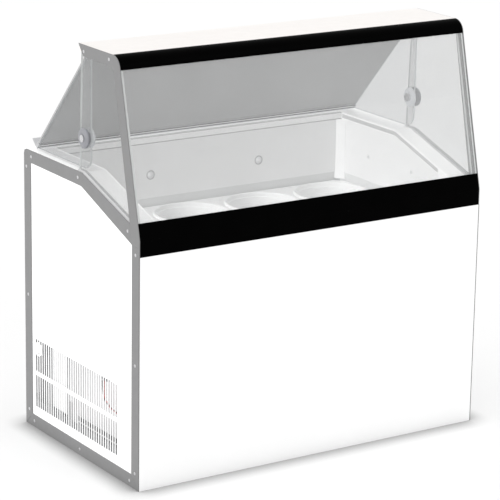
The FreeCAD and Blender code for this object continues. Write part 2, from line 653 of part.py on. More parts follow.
shelf_out = box("shelf_out", fx(BAND), fy(D["shelf_front"]), TOP - D["shelf_deep"], W - 2 * BAND,
                D["shelf_rear"] - D["shelf_front"], D["shelf_deep"])
shelf_in = box("shelf_in", fx(BAND + 2), fy(D["shelf_front"] + 2.0), TOP - D["shelf_deep"] - 1, W - 2 * BAND - 4,
               D["shelf_rear"] - D["shelf_front"] - 4.0, D["shelf_deep"] - 1.0)
keep(cut("top_shelf", shelf_out, shelf_in), "top_shelf")
SG = D["side_glass_in"]
GL_SIDE = [(fy(363.0), RZ - 8.5), (fy(KY), RZ - 8.5), (fy(18.8), rail_z(Q.of(18.8), 8.5)),
           (fy(128.2), Q.of(1220.8)), (fy(350.0), Q.of(1220.8))]
CHO = [(fy(364.5), RZ - 11.5), (fy(KY), RZ - 11.5), (fy(22.5), rail_z(Q.of(22.5), 11.5)), (fy(22.5), rail_z(Q.of(22.5), -2.5)),
       (fy(KY), RZ + 2.5), (fy(364.5), RZ + 2.5)]
CHI = [(fy(380.0), RZ - 8.8), (fy(KY), RZ - 8.8), (fy(10.0), rail_z(Q.of(10.0), 8.8)), (fy(10.0), rail_z(Q.of(10.0), -20.0)),
       (fy(KY), RZ + 20.0), (fy(380.0), RZ + 20.0)]
channels = []
for side in ("left", "right"):
    x0 = fx(SG) if side == "left" else W / 2 - SG - D["glass_thick"]
    side_body("side_glass_" + side, [GL_SIDE], x0, D["glass_thick"],
              [(fy(D["hub_depth"]), D["hub_height"], 6.6)])
    name = "side_glass_channel_" + side
    x1 = fx(SG - 2.4) if side == "left" else W / 2 - SG - D["glass_thick"] - 2.4
    body = side_body(name, [CHO], x1, D["glass_thick"] + 4.8, whole=False)
    channels.append(body)
    doc.recompute()
    pk = body.newObject("PartDesign::Pocket", name + "_groove")
    s = sketch(body, "YZ_Plane", [CHI])
    s.AttachmentOffset = FreeCAD.Placement(V(0, 0, 2.25), FreeCAD.Rotation())
    pk.Profile = s
    pk.Length = num(D["glass_thick"]) + 0.3
    pk.Reversed = True
    body.Tip = pk
    SHO = [(fy(364.5), RZ - 4.5), (fy(KY), RZ - 4.5), (fy(24.0), rail_z(Q.of(24.0), 4.5)), (fy(24.0), rail_z(Q.of(24.0), 1.0)),
           (fy(KY), RZ - 1.0), (fy(364.5), RZ - 1.0)]
    wide, thin = 6.4, 2.6
    for n, (at, span) in enumerate(((-wide + 0.2, wide + 0.3), (10.3, thin)) if side == "left" else ((10.3, wide + 0.3), (-thin + 0.5, thin))):
        p = body.newObject("PartDesign::Pad", name + "_shoulder_%d" % n)
        p.Profile = sketch(body, "YZ_Plane", [SHO])
        p.Profile[0].AttachmentOffset = FreeCAD.Placement(V(0, 0, at), FreeCAD.Rotation())
        p.Length = span
        body.Tip = p
group("side_glass_channels", *channels)

# --------------------------------------------------------------------- rear lid
# Local lid axes: "out" is the outward normal of the closed panel measured from
# the hinge line, "up" runs along the panel towards the shelf.
HY, HZ = D["hub_depth"], D["hub_height"]
NY, NZ = 0.7371, 0.6757
DY, DZ = -0.6757, 0.7371


def lidpt(out, up):
    return (fy(HY + out * NY + up * DY), HZ + out * NZ + up * DZ)


LR, LTK = num(D["lid_reach"]), num(D["lid_thick"])
body = side_body("lid_panel", [[lidpt(LR, -262), lidpt(LR + LTK, -262), lidpt(LR + LTK, 170), lidpt(LR, 170)]],
                 fx(21.5), W - 43.0)
body = side_body("lid_bottom_rail", [[
    lidpt(162, -279), lidpt(171.5, -279), lidpt(171.5, -280.5), lidpt(200, -280.5), lidpt(200, -278), lidpt(174.5, -276.5), lidpt(174.5, -259),
    lidpt(LR + LTK + 0.1, -259), lidpt(LR + LTK + 0.1, -262.3), lidpt(LR - 0.1, -262.3), lidpt(LR - 0.1, -259), lidpt(162, -259)]],
    fx(21.5), W - 43.0)
body = side_body("lid_top_rail", [[
    lidpt(163, 168), lidpt(LR - 0.1, 168), lidpt(LR - 0.1, 170.3), lidpt(LR + LTK + 0.1, 170.3), lidpt(LR + LTK + 0.1, 168),
    lidpt(173.5, 168), lidpt(173.5, 176), lidpt(163, 176)]], fx(21.5), W - 43.0)
body = side_body("lid_seal", [[lidpt(163, -279.2), lidpt(171, -279.2), lidpt(170.2, -281.8), lidpt(164, -281.8)]],
                 fx(24.0), W - 48.0)
WB = 877.0
out_at = lambda out, z: (z - num(HZ) - out * NZ) / DZ
R = 38.0
WING = [(fy(313.0 + R), Q.of(WB)),
        lidpt(161.8, out_at(161.8, WB)), lidpt(161.8, -258.7), lidpt(LR - 0.2, -258.7), lidpt(LR - 0.2, 167.6),
        lidpt(162.8, 167.6), (fy(333.0), Q.of(1206.0)),
        (fy(313.0), Q.of(1206.0)), (fy(313.0), Q.of(WB + R)),
        ("arc", (fy(313.0 + R * 0.2929), Q.of(WB + R * 0.2929)), (fy(313.0 + R), Q.of(WB)))]
for side in ("left", "right"):
    x0 = fx(D["wing_in"]) if side == "left" else W / 2 - D["wing_in"] - D["wing_thick"]
    side_body("lid_wing_" + side, [WING], x0, D["wing_thick"], [(fy(HY), HZ, 6.6)])

HP = D["hinge_pin"]


def turned(label, items):
    """Round pieces on the hinge line: list of (inset, length, radius, bore)."""
    parts = []
    for n, (inset, length, radius, bore) in enumerate(items):
        for sx in (-1, 1):
            x_at = fx(inset) if sx < 0 else W / 2 - inset - length
            c = cyl("%s_%d_%d" % (label, n, sx + 1), radius, length, x_at, fy(HY), HZ, "x")
            if bore:
                b = cyl("%s_bore_%d_%d" % (label, n, sx + 1), bore, num(length) + 2, (fx(num(inset) - 1) if sx < 0 else W / 2 - inset - length - 1), fy(HY), HZ, "x")
                c = cut("%s_cut_%d_%d" % (label, n, sx + 1), c, b)
            parts.append(c)
    return keep(fuse(label, *parts), label)


HR = D["hub_radius"]
turned("hinge_fixed_discs", [(4.0, 7.7, HR, 6.1), (18.3, 3.4, 20.0, 6.1)])
turned("hinge_inner_discs", [(27.2, 7.6, HR, 6.06)])
turned("hinge_bolts", [(1.2, 38.0, HP, None), (35.4, 6.0, 13.0, None), (1.2, 2.5, 11.0, None)])

# ------------------------------------------------------------------ tub plates
PL, PT = D["plate_low"], D["plate_thick"]
RP, RI, RO = D["ring_pitch"], D["ring_in"], D["ring_out"]
ROWS = [351.5 - num(RP) / 2, 351.5 + num(RP) / 2]
for side in ("left", "right"):
    sx = -1 if side == "left" else 1
    base = new_body("plate_flat_" + side, whole=False)
    place(base, z=PL)
    near, far, cut_in = -0.6 if sx < 0 else 0.6, (W / 2 - 85.0) * sx, 26.0
    pad(base, "XY_Plane", [[(Q.of(near), fy(85.0)), (far - cut_in * sx, fy(85.0)), (far, fy(85.0 + cut_in)),
                            (far, fy(WR - 3.0 - cut_in)), (far - cut_in * sx, fy(WR - 3.0)), (Q.of(near), fy(WR - 3.0))]], PT)
    rims, bores = [], []
    for n, col in enumerate((0.5, 1.5)):
        for m, dd in enumerate(ROWS):
            rims.append(cyl("plate_rim_%s_%d%d" % (side, n, m), RO, PT + D["ring_proud"], RP * (col * sx), fy(dd), PL))
            rims.append(cyl("plate_skirt_%s_%d%d" % (side, n, m), RI + 2.0, 54.0, RP * (col * sx), fy(dd), PL - 53.0))
            bores.append(cyl("plate_bore_%s_%d%d" % (side, n, m), RI, 100.0, RP * (col * sx), fy(dd), PL - 60.0))
    keep(cut("tub_plate_" + side, fuse("plate_body_" + side, base, *rims), *bores), "tub_plate_" + side)
keep(fuse("plate_ledges",
          box("ledge_front", fx(79.4), fy(79.0), PL - 4.2, W - 158.8, 15.0, 4.0),
          box("ledge_rear", fx(79.4), fy(WR + 3.0 - 15.0), PL - 4.2, W - 158.8, 15.0, 4.0),
          box("ledge_mid", -6.0, fy(94.3), PL - 22.0, 12.0, WR - 106.6, 21.8)), "plate_ledges")

# ----------------------------------------------------------- refrigeration parts
evap = []
for k in range(6):
    z = 392.0 + 44.0 * k
    a, b, c, d2 = num(fx(71.2)), -num(fx(71.2)), num(fy(71.2)), num(fy(632.3))
    evap.append((a, c, z))
    evap.append((b, c, z + 11.0))
    evap.append((b, d2, z + 22.0))
    evap.append((a, d2, z + 33.0))
feature("evaporator_tube", tube_shape(evap, 4.0, 6.0))

cx, cyy = 40.0, num(fy(330.0))
shell = new_body("compressor_shell")
place(shell, cx, cyy, 34.0)
rs = num(D["shell_radius"])
prof = [(Q.of(0.0), Q.of(0.0)), (Q.of(rs * 0.62), Q.of(4.0)), (Q.of(rs * 0.92), Q.of(22.0)), (D["shell_radius"] - 1.0, Q.of(46.0)),
        (D["shell_radius"] - 1.0, Q.of(78.0)), (D["shell_radius"] + 2.0, Q.of(80.0)), (D["shell_radius"] + 2.0, Q.of(86.0)),
        (D["shell_radius"] - 1.0, Q.of(88.0)), (Q.of(rs * 0.94), Q.of(118.0)), (Q.of(rs * 0.72), Q.of(142.0)), (Q.of(rs * 0.38), Q.of(154.0)), (Q.of(0.0), Q.of(157.0))]
rev = shell.newObject("PartDesign::Revolution", "compressor_shell_turn")
rev.Profile = sketch(shell, "XZ_Plane", [prof])
rev.ReferenceAxis = (rev.Profile[0], ["V_Axis"])
rev.Angle = 360.0
shell.Tip = rev

arm1 = box("foot_bar", cx - 100.0, cyy - 75.0, 26.0, 200.0, 150.0, 3.0)
foot_cuts = []
grom, bolts = [], []
for ax in (-86.0, 86.0):
    for ay in (-61.0, 61.0):
        foot_cuts.append(cyl("foot_hole_%d_%d" % (ax, ay), 8.4, 10.0, cx + ax, cyy + ay, 22.0))
        g = cyl("grommet_body_%d_%d" % (ax, ay), 8.2, 22.0, cx + ax, cyy + ay, 10.2)
        gr = cyl("grommet_low_%d_%d" % (ax, ay), 13.0, 15.6, cx + ax, cyy + ay, 10.2)
        gb = cyl("grommet_bore_%d_%d" % (ax, ay), 4.2, 30.0, cx + ax, cyy + ay, 8.0)
        grom.append(cut("grommet_%d_%d" % (ax, ay), fuse("grommet_f_%d_%d" % (ax, ay), g, gr), gb))
        bolts.append(cyl("foot_bolt_%d_%d" % (ax, ay), 4.0, 26.0, cx + ax, cyy + ay, 10.1))
        bolts.append(cyl("foot_bolt_head_%d_%d" % (ax, ay), 7.5, 5.0, cx + ax, cyy + ay, 32.4))
arm2 = cyl("foot_pad", 50.0, 5.0, cx, cyy, 28.8)
keep(cut("compressor_feet", fuse("foot_plate", arm1, arm2), *foot_cuts), "compressor_feet")
group("compressor_mounts", *(grom + bolts))
tb = box("compressor_terminal_box", cx - 34.0, cyy - rs - 36.0, 92.0, 68.0, 34.0, 58.0)

# condenser along the rear left, its end plate close behind the left grille
CX0, CX1 = num(fx(26.0)), num(fx(352.0))
CY0, CY1 = num(fy(566.0)), num(fy(634.0))
tubes, fins = [], []
for k in range(20):
    fins.append(box("fin_%d" % k, CX0 + 12.0 + k * 15.9, CY0, 36.0, 1.2, CY1 - CY0, 250.0))
for m in range(2):
    for k in range(8):
        tubes.append(cyl("cond_run_%d_%d" % (m, k), 4.8, CX1 - CX0 - 10.0, CX0 + 5.0, CY0 + 18.0 + 32.0 * m, 54.0 + 30.0 * k, "x"))
group("condenser_coil", *(fins + tubes + [
          cut("end_a", box("end_a_box", CX0 - 2.0, CY0 - 4.0, 34.0, 2.0, CY1 - CY0 + 8.0, 254.0),
              box("end_a_cut", CX0 - 5.0, CY0 + 14.0, 300.0, 8.0, 4.0, 4.0)),
          box("end_b_box", CX1 + 0.0, CY0 - 4.0, 34.0, 2.0, CY1 - CY0 + 8.0, 254.0),
          box("end_foot_a", CX0 - 2.0, CY0 - 4.0, 10.2, 14.0, CY1 - CY0 + 8.0, 24.0),
          box("end_foot_b", CX1 - 12.0, CY0 - 4.0, 10.2, 14.0, CY1 - CY0 + 8.0, 24.0)]))
FX, FZ, FR = (CX0 + CX1) / 2, num(D["fan_height"]), num(D["fan_radius"])
shr = new_body("fan_shroud")
place(shr, y=CY0 - 6.0)
pad(shr, "XZ_Plane", [[(Q.of(CX0), Q.of(34.0)), (Q.of(CX1), Q.of(34.0)), (Q.of(CX1), Q.of(288.0)), (Q.of(CX0), Q.of(288.0))]], 2.0,
    circles=[(Q.of(FX), Q.of(FZ), D["fan_radius"] + 8.0)])
ringp = shr.newObject("PartDesign::Pad", "fan_shroud_ring")
ringp.Profile = sketch(shr, "XZ_Plane", [], circles=[(Q.of(FX), Q.of(FZ), D["fan_radius"] + 10.0), (Q.of(FX), Q.of(FZ), D["fan_radius"] + 8.0)])
ringp.Length = 26.0
shr.Tip = ringp
FYB = CY0 - 21.0
hub = Part.makeCylinder(26.0, 20.0, V(FX, FYB - 10.0, FZ), V(0, 1, 0))
bore = Part.makeCylinder(4.05, 30.0, V(FX, FYB - 15.0, FZ), V(0, 1, 0))
fan = hub
for k in range(5):
    a0 = 2 * math.pi * k / 5
    wire = Part.makePolygon([V(18.0, 9.0, -14.0), V(60.0, 10.0, -34.0), V(FR - 2.0, 8.0, -38.0), V(FR, 2.0, 0.0),
                             V(FR - 4.0, -8.0, 26.0), V(50.0, -8.0, 22.0), V(18.0, -7.0, 12.0), V(18.0, 9.0, -14.0)])
    # a pitched blade: flat plate tilted about its own radius
    flat = Part.makePolygon([V(20, 0, -14), V(60, 0, -34), V(FR - 8, 0, -40), V(FR - 3, 0, 0), V(FR - 8, 0, 30), V(55, 0, 24), V(20, 0, 12), V(20, 0, -14)])
    plate = Part.Face(flat).extrude(V(0, 2.0, 0))
    plate.rotate(V(0, 0, 0), V(1, 0, 0), 17.0)
    plate.rotate(V(0, 0, 0), V(0, 1, 0), math.degrees(a0))
    plate.translate(V(FX, FYB - 1.0, FZ))
    fan = fan.fuse(plate)
fan = fan.cut(bore)
feature("fan_blade", fan)
mot = cyl("motor_can", 34.0, 52.0, FX, FYB - 72.0, FZ, "y")
mot2 = cyl("motor_nose", 16.0, 8.0, FX, FYB - 20.5, FZ, "y")
mot3 = cyl("motor_shaft", 4.0, 34.0, FX, FYB - 22.0, FZ, "y")
keep(fuse("fan_motor", mot, mot2, mot3), "fan_motor")
arms = [cut("motor_band", cyl("motor_band_o", 37.0, 12.0, FX, FYB - 60.0, FZ, "y"), cyl("motor_band_i", 34.1, 14.0, FX, FYB - 61.0, FZ, "y")),
        box("motor_leg_a", FX - 60.0, FYB - 60.0, 10.2, 120.0, 12.0, 3.0),
        box("motor_leg_b", FX - 12.0, FYB - 60.0, 10.2, 24.0, 12.0, FZ - 46.6)]
keep(fuse("fan_bracket", *arms), "fan_bracket")

drier = fuse("drier_parts", cyl("drier_mid", 9.5, 60.0, -120.0, num(fy(470.0)), 90.0),
             cyl("drier_low", 4.0, 84.0, -120.0, num(fy(470.0)), 78.0))
keep(drier, "filter_drier")
y470 = num(fy(470.0))
lines = []
lines.append(feature("discharge_line", tube_shape([(cx - 40.0, cyy, 193.0), (cx - 40.0, cyy, 226.0), (cx - 120.0, cyy + 60.0, 232.0),
                                      (CX1 + 24.0, CY0 - 30.0, 262.0), (CX1 + 24.0, CY0 + 18.0, 264.0), (CX1 + 4.6, CY0 + 18.0, 264.0)], 3.2, 22.0), whole=False))
lines.append(feature("liquid_line", tube_shape([(CX1 + 4.6, CY0 + 18.0, 54.0), (CX1 + 40.0, CY0 + 18.0, 54.0), (CX1 + 60.0, CY0 - 60.0, 54.0),
                                   (-120.0, y470, 50.0), (-120.0, y470, 77.8)], 3.2, 20.0), whole=False))
lines.append(feature("suction_line", tube_shape([(-194.0, num(Q.of(250.0)), 301.5), (-194.0, 250.0, 262.0), (-60.0, 120.0, 255.0),
                                    (cx + 36.0, cyy + 22.0, 240.0), (cx + 36.0, cyy + 14.0, 188.0)], 4.0, 24.0), whole=False))
group("copper_lines", *lines)

baffle = side_body("electrics_tray", [[(fy(40.0), Q.of(96.0)), (fy(546.0), Q.of(96.0)), (fy(546.0), Q.of(300.0)), (fy(40.0), Q.of(300.0))]], fx(78.0), 2.0)
p = baffle.newObject("PartDesign::Pad", "electrics_tray_foot")
p.Profile = sketch(baffle, "YZ_Plane", [[(fy(40.0), Q.of(10.2)), (fy(70.0), Q.of(10.2)), (fy(70.0), Q.of(97.0)), (fy(40.0), Q.of(97.0))],
                                        [(fy(500.0), Q.of(10.2)), (fy(530.0), Q.of(10.2)), (fy(530.0), Q.of(97.0)), (fy(500.0), Q.of(97.0))]])
p.Length = 2.0
baffle.Tip = p
tblock = box("terminal_block", fx(58.0), fy(286.0), 238.0, 19.9, 34.0, 22.0)
xw = num(fx(60.0))
feature("wiring_loom", tube_shape([(xw, num(fy(304.0)), 237.8), (xw, num(fy(304.0)), 182.0), (xw - 2, num(fy(262.0)), 165.0),
                                   (xw - 2, num(fy(150.0)), 150.0), (xw, num(fy(110.0)), 96.0), (xw + 8, num(fy(100.0)), 60.0),
                                   (xw + 90.0, num(fy(110.0)), 30.0), (cx - 120.0, cyy - rs - 46.0, 40.0),
                                   (cx - 4.0, cyy - rs - 50.0, 60.0), (cx, cyy - rs - 24.0, 70.0), (cx, cyy - rs - 24.0, 91.6)], 2.6, 18.0))

# thermostat with a coin-turned dial set into the grille
TY, TZ = fy(603.0), Q.of(258.0)
dial = cut("thermostat_dial", fuse("dial_solid", cyl("dial_head", 14.0, 9.0, fx(0.2), TY, TZ, "x"), cyl("dial_stem", 3.0, 9.0, fx(8.0), TY, TZ, "x")),
           box("dial_slot", fx(-1.0), TY - 9.5, TZ - 1.2, 3.2, 19.0, 2.4))
keep(dial, "thermostat_dial")
keep(cut("thermostat_bezel", cyl("bezel_out", 22.0, 1.8, fx(1.1), TY, TZ, "x"), cyl("bezel_in", 14.6, 5.0, fx(0.0), TY, TZ, "x")), "thermostat_bezel")
tbody = cut("thermostat_body", box("thermo_box", fx(10.0), TY - 15.0, TZ - 21.0, 12.0, 30.0, 42.0), cyl("thermo_bore", 3.05, 16.0, fx(9.0), TY, TZ, "x"))
group("electrical_boxes", tb, tblock, tbody)

keep(cut("power_inlet_gland", fuse("gland_solid", cyl("gland_flange", 15.0, 1.0, 450.0, fy(REAR), 120.0, "y"), cyl("gland_barrel", 10.8, 20.0, 450.0, fy(REAR - 19.5), 120.0, "y")),
         cyl("gland_bore", 4.5, 30.0, 450.0, fy(REAR - 24.0), 120.0, "y")), "power_inlet_gland")
group("drain", cut("drain_tube", fuse("drain_solid", cyl("drain_flange", 24.0, 2.4, 0.0, 9.0, 370.1), cyl("drain_barrel", 11.6, 120.0, 0.0, 9.0, 251.0)),
         cyl("drain_bore", 9.0, 140.0, 0.0, 9.0, 240.0)), cyl("drain_plug", 8.9, 20.0, 0.0, 9.0, 352.0))

# ------------------------------------------------------------------------ checks
doc.recompute()
bad = [o.Name for o in doc.Objects if any(s in ("Invalid", "Error") for s in o.State)]
if bad:
    raise SystemExit("failed objects: " + ", ".join(bad))
for obj in NODES:
    shape = obj.Shape
    if shape.isNull() or not shape.isValid() or not shape.Solids:
        raise SystemExit("bad shape: " + obj.Label)
if len(NODES) > 60 or len({o.Label for o in NODES}) != len(NODES):
    raise SystemExit("node list is wrong: %d" % len(NODES))

os.makedirs("parts", exist_ok=True)
for old in os.listdir("parts"):
    if old.endswith(".step"):
        os.remove(os.path.join("parts", old))
for obj in NODES:
    obj.Shape.exportStep("parts/" + obj.Label + ".step")
    bb = obj.Shape.BoundBox
    print("%-28s solids %3d  x %7.1f %7.1f  y %7.1f %7.1f  z %7.1f %7.1f  vol %.0f" % (
        obj.Label, len(obj.Shape.Solids), bb.XMin, bb.XMax, bb.YMin, bb.YMax, bb.ZMin, bb.ZMax, obj.Shape.Volume))
print("nodes", len(NODES))
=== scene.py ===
import math

import bmesh
import bpy
from mathutils import Matrix, Vector


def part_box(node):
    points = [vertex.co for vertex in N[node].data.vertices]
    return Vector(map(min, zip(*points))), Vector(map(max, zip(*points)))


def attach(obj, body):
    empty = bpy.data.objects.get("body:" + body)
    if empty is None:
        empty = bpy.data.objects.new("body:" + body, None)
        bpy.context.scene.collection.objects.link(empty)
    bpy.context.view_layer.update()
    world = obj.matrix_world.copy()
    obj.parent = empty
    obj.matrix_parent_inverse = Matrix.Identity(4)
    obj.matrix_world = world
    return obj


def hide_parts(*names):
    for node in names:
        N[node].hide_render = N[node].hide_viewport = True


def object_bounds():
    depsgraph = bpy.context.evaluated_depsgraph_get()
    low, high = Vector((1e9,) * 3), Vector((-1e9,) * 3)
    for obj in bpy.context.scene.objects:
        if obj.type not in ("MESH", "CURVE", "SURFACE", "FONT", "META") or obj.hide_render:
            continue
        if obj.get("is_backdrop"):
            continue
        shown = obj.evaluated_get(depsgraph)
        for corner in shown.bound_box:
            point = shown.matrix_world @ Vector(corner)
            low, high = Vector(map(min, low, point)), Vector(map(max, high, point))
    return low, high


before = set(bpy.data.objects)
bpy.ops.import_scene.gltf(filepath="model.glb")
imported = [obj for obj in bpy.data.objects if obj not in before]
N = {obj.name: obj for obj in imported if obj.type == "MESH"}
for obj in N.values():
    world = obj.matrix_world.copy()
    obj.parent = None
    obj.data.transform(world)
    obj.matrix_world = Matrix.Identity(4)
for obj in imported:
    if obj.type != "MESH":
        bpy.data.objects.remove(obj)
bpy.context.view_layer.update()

MM = 0.001

# ------------------------------------------------------------------ material kit


def blank(name):
    m = bpy.data.materials.new(name)
    m.use_nodes = True
    nt = m.node_tree
    nt.nodes.clear()
    out = nt.nodes.new("ShaderNodeOutputMaterial")
    return m, nt, out


def noise(nt, scale, detail=3.0, rough=0.55, stretch=(1.0, 1.0, 1.0), distort=0.0):
    tc = nt.nodes.new("ShaderNodeTexCoord")
    mp = nt.nodes.new("ShaderNodeMapping")
    mp.inputs["Scale"].default_value = stretch
    nt.links.new(tc.outputs["Object"], mp.inputs["Vector"])
    n = nt.nodes.new("ShaderNodeTexNoise")
    n.inputs["Scale"].default_value = scale
    n.inputs["Detail"].default_value = detail
    n.inputs["Roughness"].default_value = rough
    n.inputs["Distortion"].default_value = distort
    nt.links.new(mp.outputs["Vector"], n.inputs["Vector"])
    return n.outputs["Fac"]


def remap(nt, fac, lo, hi, low=0.3, high=0.7):
    r = nt.nodes.new("ShaderNodeMapRange")
    r.inputs["From Min"].default_value = low
    r.inputs["From Max"].default_value = high
    r.inputs["To Min"].default_value = lo
    r.inputs["To Max"].default_value = hi
    nt.links.new(fac, r.inputs["Value"])
    return r.outputs["Result"]


def blend_rgb(nt, fac, a, b):
    m = nt.nodes.new("ShaderNodeMix")
    m.data_type = "RGBA"
    nt.links.new(fac, m.inputs[0])
    for socket, value in ((m.inputs[6], a), (m.inputs[7], b)):
        if isinstance(value, tuple):
            socket.default_value = (*value[:3], 1.0)
        else:
            nt.links.new(value, socket)
    return m.outputs[2]


def shade(c, k):
    return tuple(min(1.0, max(0.0, v * k)) for v in c)


def surface(name, base, rough=0.45, metal=0.0, tint=0.05, tint_scale=4.0, rough_var=0.06,
            rough_scale=35.0, bump=0.15, bump_scale=900.0, bump_size=0.00006, spec=0.5,
            coat=0.0, alpha=1.0, stretch=(1.0, 1.0, 1.0), speck=0.0, speck_rgb=(0.3, 0.3, 0.3),
            bump_detail=2.0):
    m, nt, out = blank(name)
    p = nt.nodes.new("ShaderNodeBsdfPrincipled")
    nt.links.new(p.outputs["BSDF"], out.inputs["Surface"])
    cloud = remap(nt, noise(nt, tint_scale, 4.0, stretch=stretch), 0.0, 1.0)
    colour = blend_rgb(nt, cloud, shade(base, 1.0 - tint), shade(base, 1.0 + tint))
    if speck:
        dots = remap(nt, noise(nt, 260.0, 2.0), 0.0, speck, 0.62, 0.74)
        colour = blend_rgb(nt, dots, colour, speck_rgb)
    nt.links.new(colour, p.inputs["Base Color"])
    nt.links.new(remap(nt, noise(nt, rough_scale, 3.0, stretch=stretch), rough - rough_var, rough + rough_var),
                 p.inputs["Roughness"])
    p.inputs["Metallic"].default_value = metal
    p.inputs["Specular IOR Level"].default_value = spec
    p.inputs["Coat Weight"].default_value = coat
    p.inputs["Coat Roughness"].default_value = 0.12
    p.inputs["Alpha"].default_value = alpha
    if bump:
        b = nt.nodes.new("ShaderNodeBump")
        b.inputs["Strength"].default_value = bump
        b.inputs["Distance"].default_value = bump_size
        nt.links.new(noise(nt, bump_scale, bump_detail, stretch=stretch), b.inputs["Height"])
        nt.links.new(b.outputs["Normal"], p.inputs["Normal"])
    return m


def pane(name, tint, edge, normal, reflect=0.5, haze=0.05, haze_rgb=(0.74, 0.745, 0.745)):
    """A flat pane: see-through on its faces, with a clouded coloured edge."""
    m, nt, out = blank(name)
    clear = nt.nodes.new("ShaderNodeBsdfTransparent")
    clear.inputs["Color"].default_value = (*tint, 1.0)
    gloss = nt.nodes.new("ShaderNodeBsdfGlossy")
    gloss.inputs["Color"].default_value = (0.95, 0.97, 0.97, 1.0)
    gloss.inputs["Roughness"].default_value = 0.03
    film = nt.nodes.new("ShaderNodeBsdfDiffuse")
    film.inputs["Color"].default_value = (*haze_rgb, 1.0)
    facing = nt.nodes.new("ShaderNodeLayerWeight")
    facing.inputs["Blend"].default_value = 0.5
    power = nt.nodes.new("ShaderNodeMath")
    power.operation = "POWER"
    power.inputs[1].default_value = 5.0
    nt.links.new(facing.outputs["Facing"], power.inputs[0])
    scale = nt.nodes.new("ShaderNodeMath")
    scale.operation = "MULTIPLY_ADD"
    scale.inputs[1].default_value = reflect
    scale.inputs[2].default_value = 0.035
    nt.links.new(power.outputs[0], scale.inputs[0])
    shine = nt.nodes.new("ShaderNodeMixShader")
    nt.links.new(scale.outputs[0], shine.inputs["Fac"])
    nt.links.new(clear.outputs[0], shine.inputs[1])
    nt.links.new(gloss.outputs[0], shine.inputs[2])
    smear = remap(nt, noise(nt, 6.0, 5.0, 0.6, (1.0, 1.0, 2.4), 0.6), haze * 0.94, haze * 1.06)
    dusty = nt.nodes.new("ShaderNodeMixShader")
    nt.links.new(smear, dusty.inputs["Fac"])
    nt.links.new(shine.outputs[0], dusty.inputs[1])
    nt.links.new(film.outputs[0], dusty.inputs[2])
    rim = nt.nodes.new("ShaderNodeBsdfPrincipled")
    rim.inputs["Base Color"].default_value = (*edge, 1.0)
    rim.inputs["Roughness"].default_value = 0.3
    rim.inputs["Alpha"].default_value = 0.85
    geo = nt.nodes.new("ShaderNodeNewGeometry")
    dot = nt.nodes.new("ShaderNodeVectorMath")
    dot.operation = "DOT_PRODUCT"
    dot.inputs[1].default_value = normal
    nt.links.new(geo.outputs["Normal"], dot.inputs[0])
    side = nt.nodes.new("ShaderNodeMath")
    side.operation = "ABSOLUTE"
    nt.links.new(dot.outputs["Value"], side.inputs[0])
    on_edge = nt.nodes.new("ShaderNodeMath")
    on_edge.operation = "LESS_THAN"
    on_edge.inputs[1].default_value = 0.7
    nt.links.new(side.outputs[0], on_edge.inputs[0])
    both = nt.nodes.new("ShaderNodeMixShader")
    nt.links.new(on_edge.outputs[0], both.inputs["Fac"])
    nt.links.new(dusty.outputs[0], both.inputs[1])
    nt.links.new(rim.outputs[0], both.inputs[2])
    nt.links.new(both.outputs[0], out.inputs["Surface"])
    return m


GREY = surface("satin_grey_powder", (0.176, 0.176, 0.177), 0.42, tint=0.03, bump=0.3, bump_scale=1400.0, bump_size=0.00005, spec=0.4)
WHITE = surface("white_powder", (0.90, 0.90, 0.90), 0.38, tint=0.012, bump=0.22, bump_scale=1100.0, bump_size=0.00005, spec=0.4)
WARM = surface("shelf_warm_white", (0.70, 0.675, 0.655), 0.34, tint=0.012, bump=0.2, bump_scale=1100.0, bump_size=0.00005, spec=0.4)
DARK = surface("dark_pan_paint", (0.085, 0.087, 0.092), 0.5, tint=0.12, tint_scale=9.0, speck=0.25, speck_rgb=(0.25, 0.24, 0.22))
ZINC = surface("bright_zinc", (0.62, 0.62, 0.63), 0.32, 0.9, tint=0.06, tint_scale=60.0, rough_var=0.08)
GALV = surface("galvanised_sheet", (0.50, 0.52, 0.535), 0.40, 0.75, tint=0.16, tint_scale=42.0, rough_var=0.12, rough_scale=42.0)
RUBBER = surface("black_rubber", (0.022, 0.022, 0.023), 0.7, tint=0.15, tint_scale=60.0, spec=0.3)
FOAM = surface("insulation_foam", (0.80, 0.70, 0.44), 0.9, tint=0.10, tint_scale=25.0, bump=0.7, bump_scale=260.0, bump_size=0.0006, spec=0.2)
LINER = surface("white_lacquered_liner", (0.68, 0.685, 0.685), 0.33, tint=0.02, bump=0.25, bump_scale=420.0, bump_size=0.00008)
PLASTIC = surface("white_moulded", (0.86, 0.86, 0.86), 0.36, tint=0.015, bump=0.2, bump_scale=1600.0, bump_size=0.00004, spec=0.45)
CAP_WHITE = surface("bright_white_moulded", (0.95, 0.95, 0.95), 0.34, tint=0.01, bump=0.2, bump_scale=1600.0, bump_size=0.00004, spec=0.45)
# grey for the inner faces of the side lips: painted shade
LIP_PAINTED_SHADE = surface("lip_painted_shade_grey", (0.50, 0.50, 0.50), 0.5, tint=0.03, bump=0.2, bump_scale=1600.0, bump_size=0.00004, spec=0.3)
# grey for thin lines along the rear cap and round the dome buttons: painted shadow lines
SHADOW_LINE_GREY = surface("painted_shadow_line_grey", (0.33, 0.33, 0.33), 0.5, tint=0.03, bump=0.1, bump_scale=1600.0, bump_size=0.00004, spec=0.2)
PLATE = surface("white_plate_moulding", (0.955, 0.955, 0.955), 0.32, tint=0.015, bump=0.2, bump_scale=1500.0, bump_size=0.00004, spec=0.5)
BUTTON = surface("pale_grey_dome", (0.70, 0.70, 0.71), 0.22, tint=0.03, bump=0.05, spec=0.5, coat=0.4)
BAND = surface("gloss_black_band", (0.0006, 0.0006, 0.0006), 0.30, tint=0.2, tint_scale=12.0, rough_var=0.05, bump=0.05, bump_scale=700.0, spec=0.008)
ALU = surface("satin_anodised", (0.56, 0.565, 0.575), 0.34, 0.85, tint=0.05, tint_scale=30.0, stretch=(0.04, 1.0, 1.0), bump=0.25, bump_scale=900.0, bump_size=0.00004)
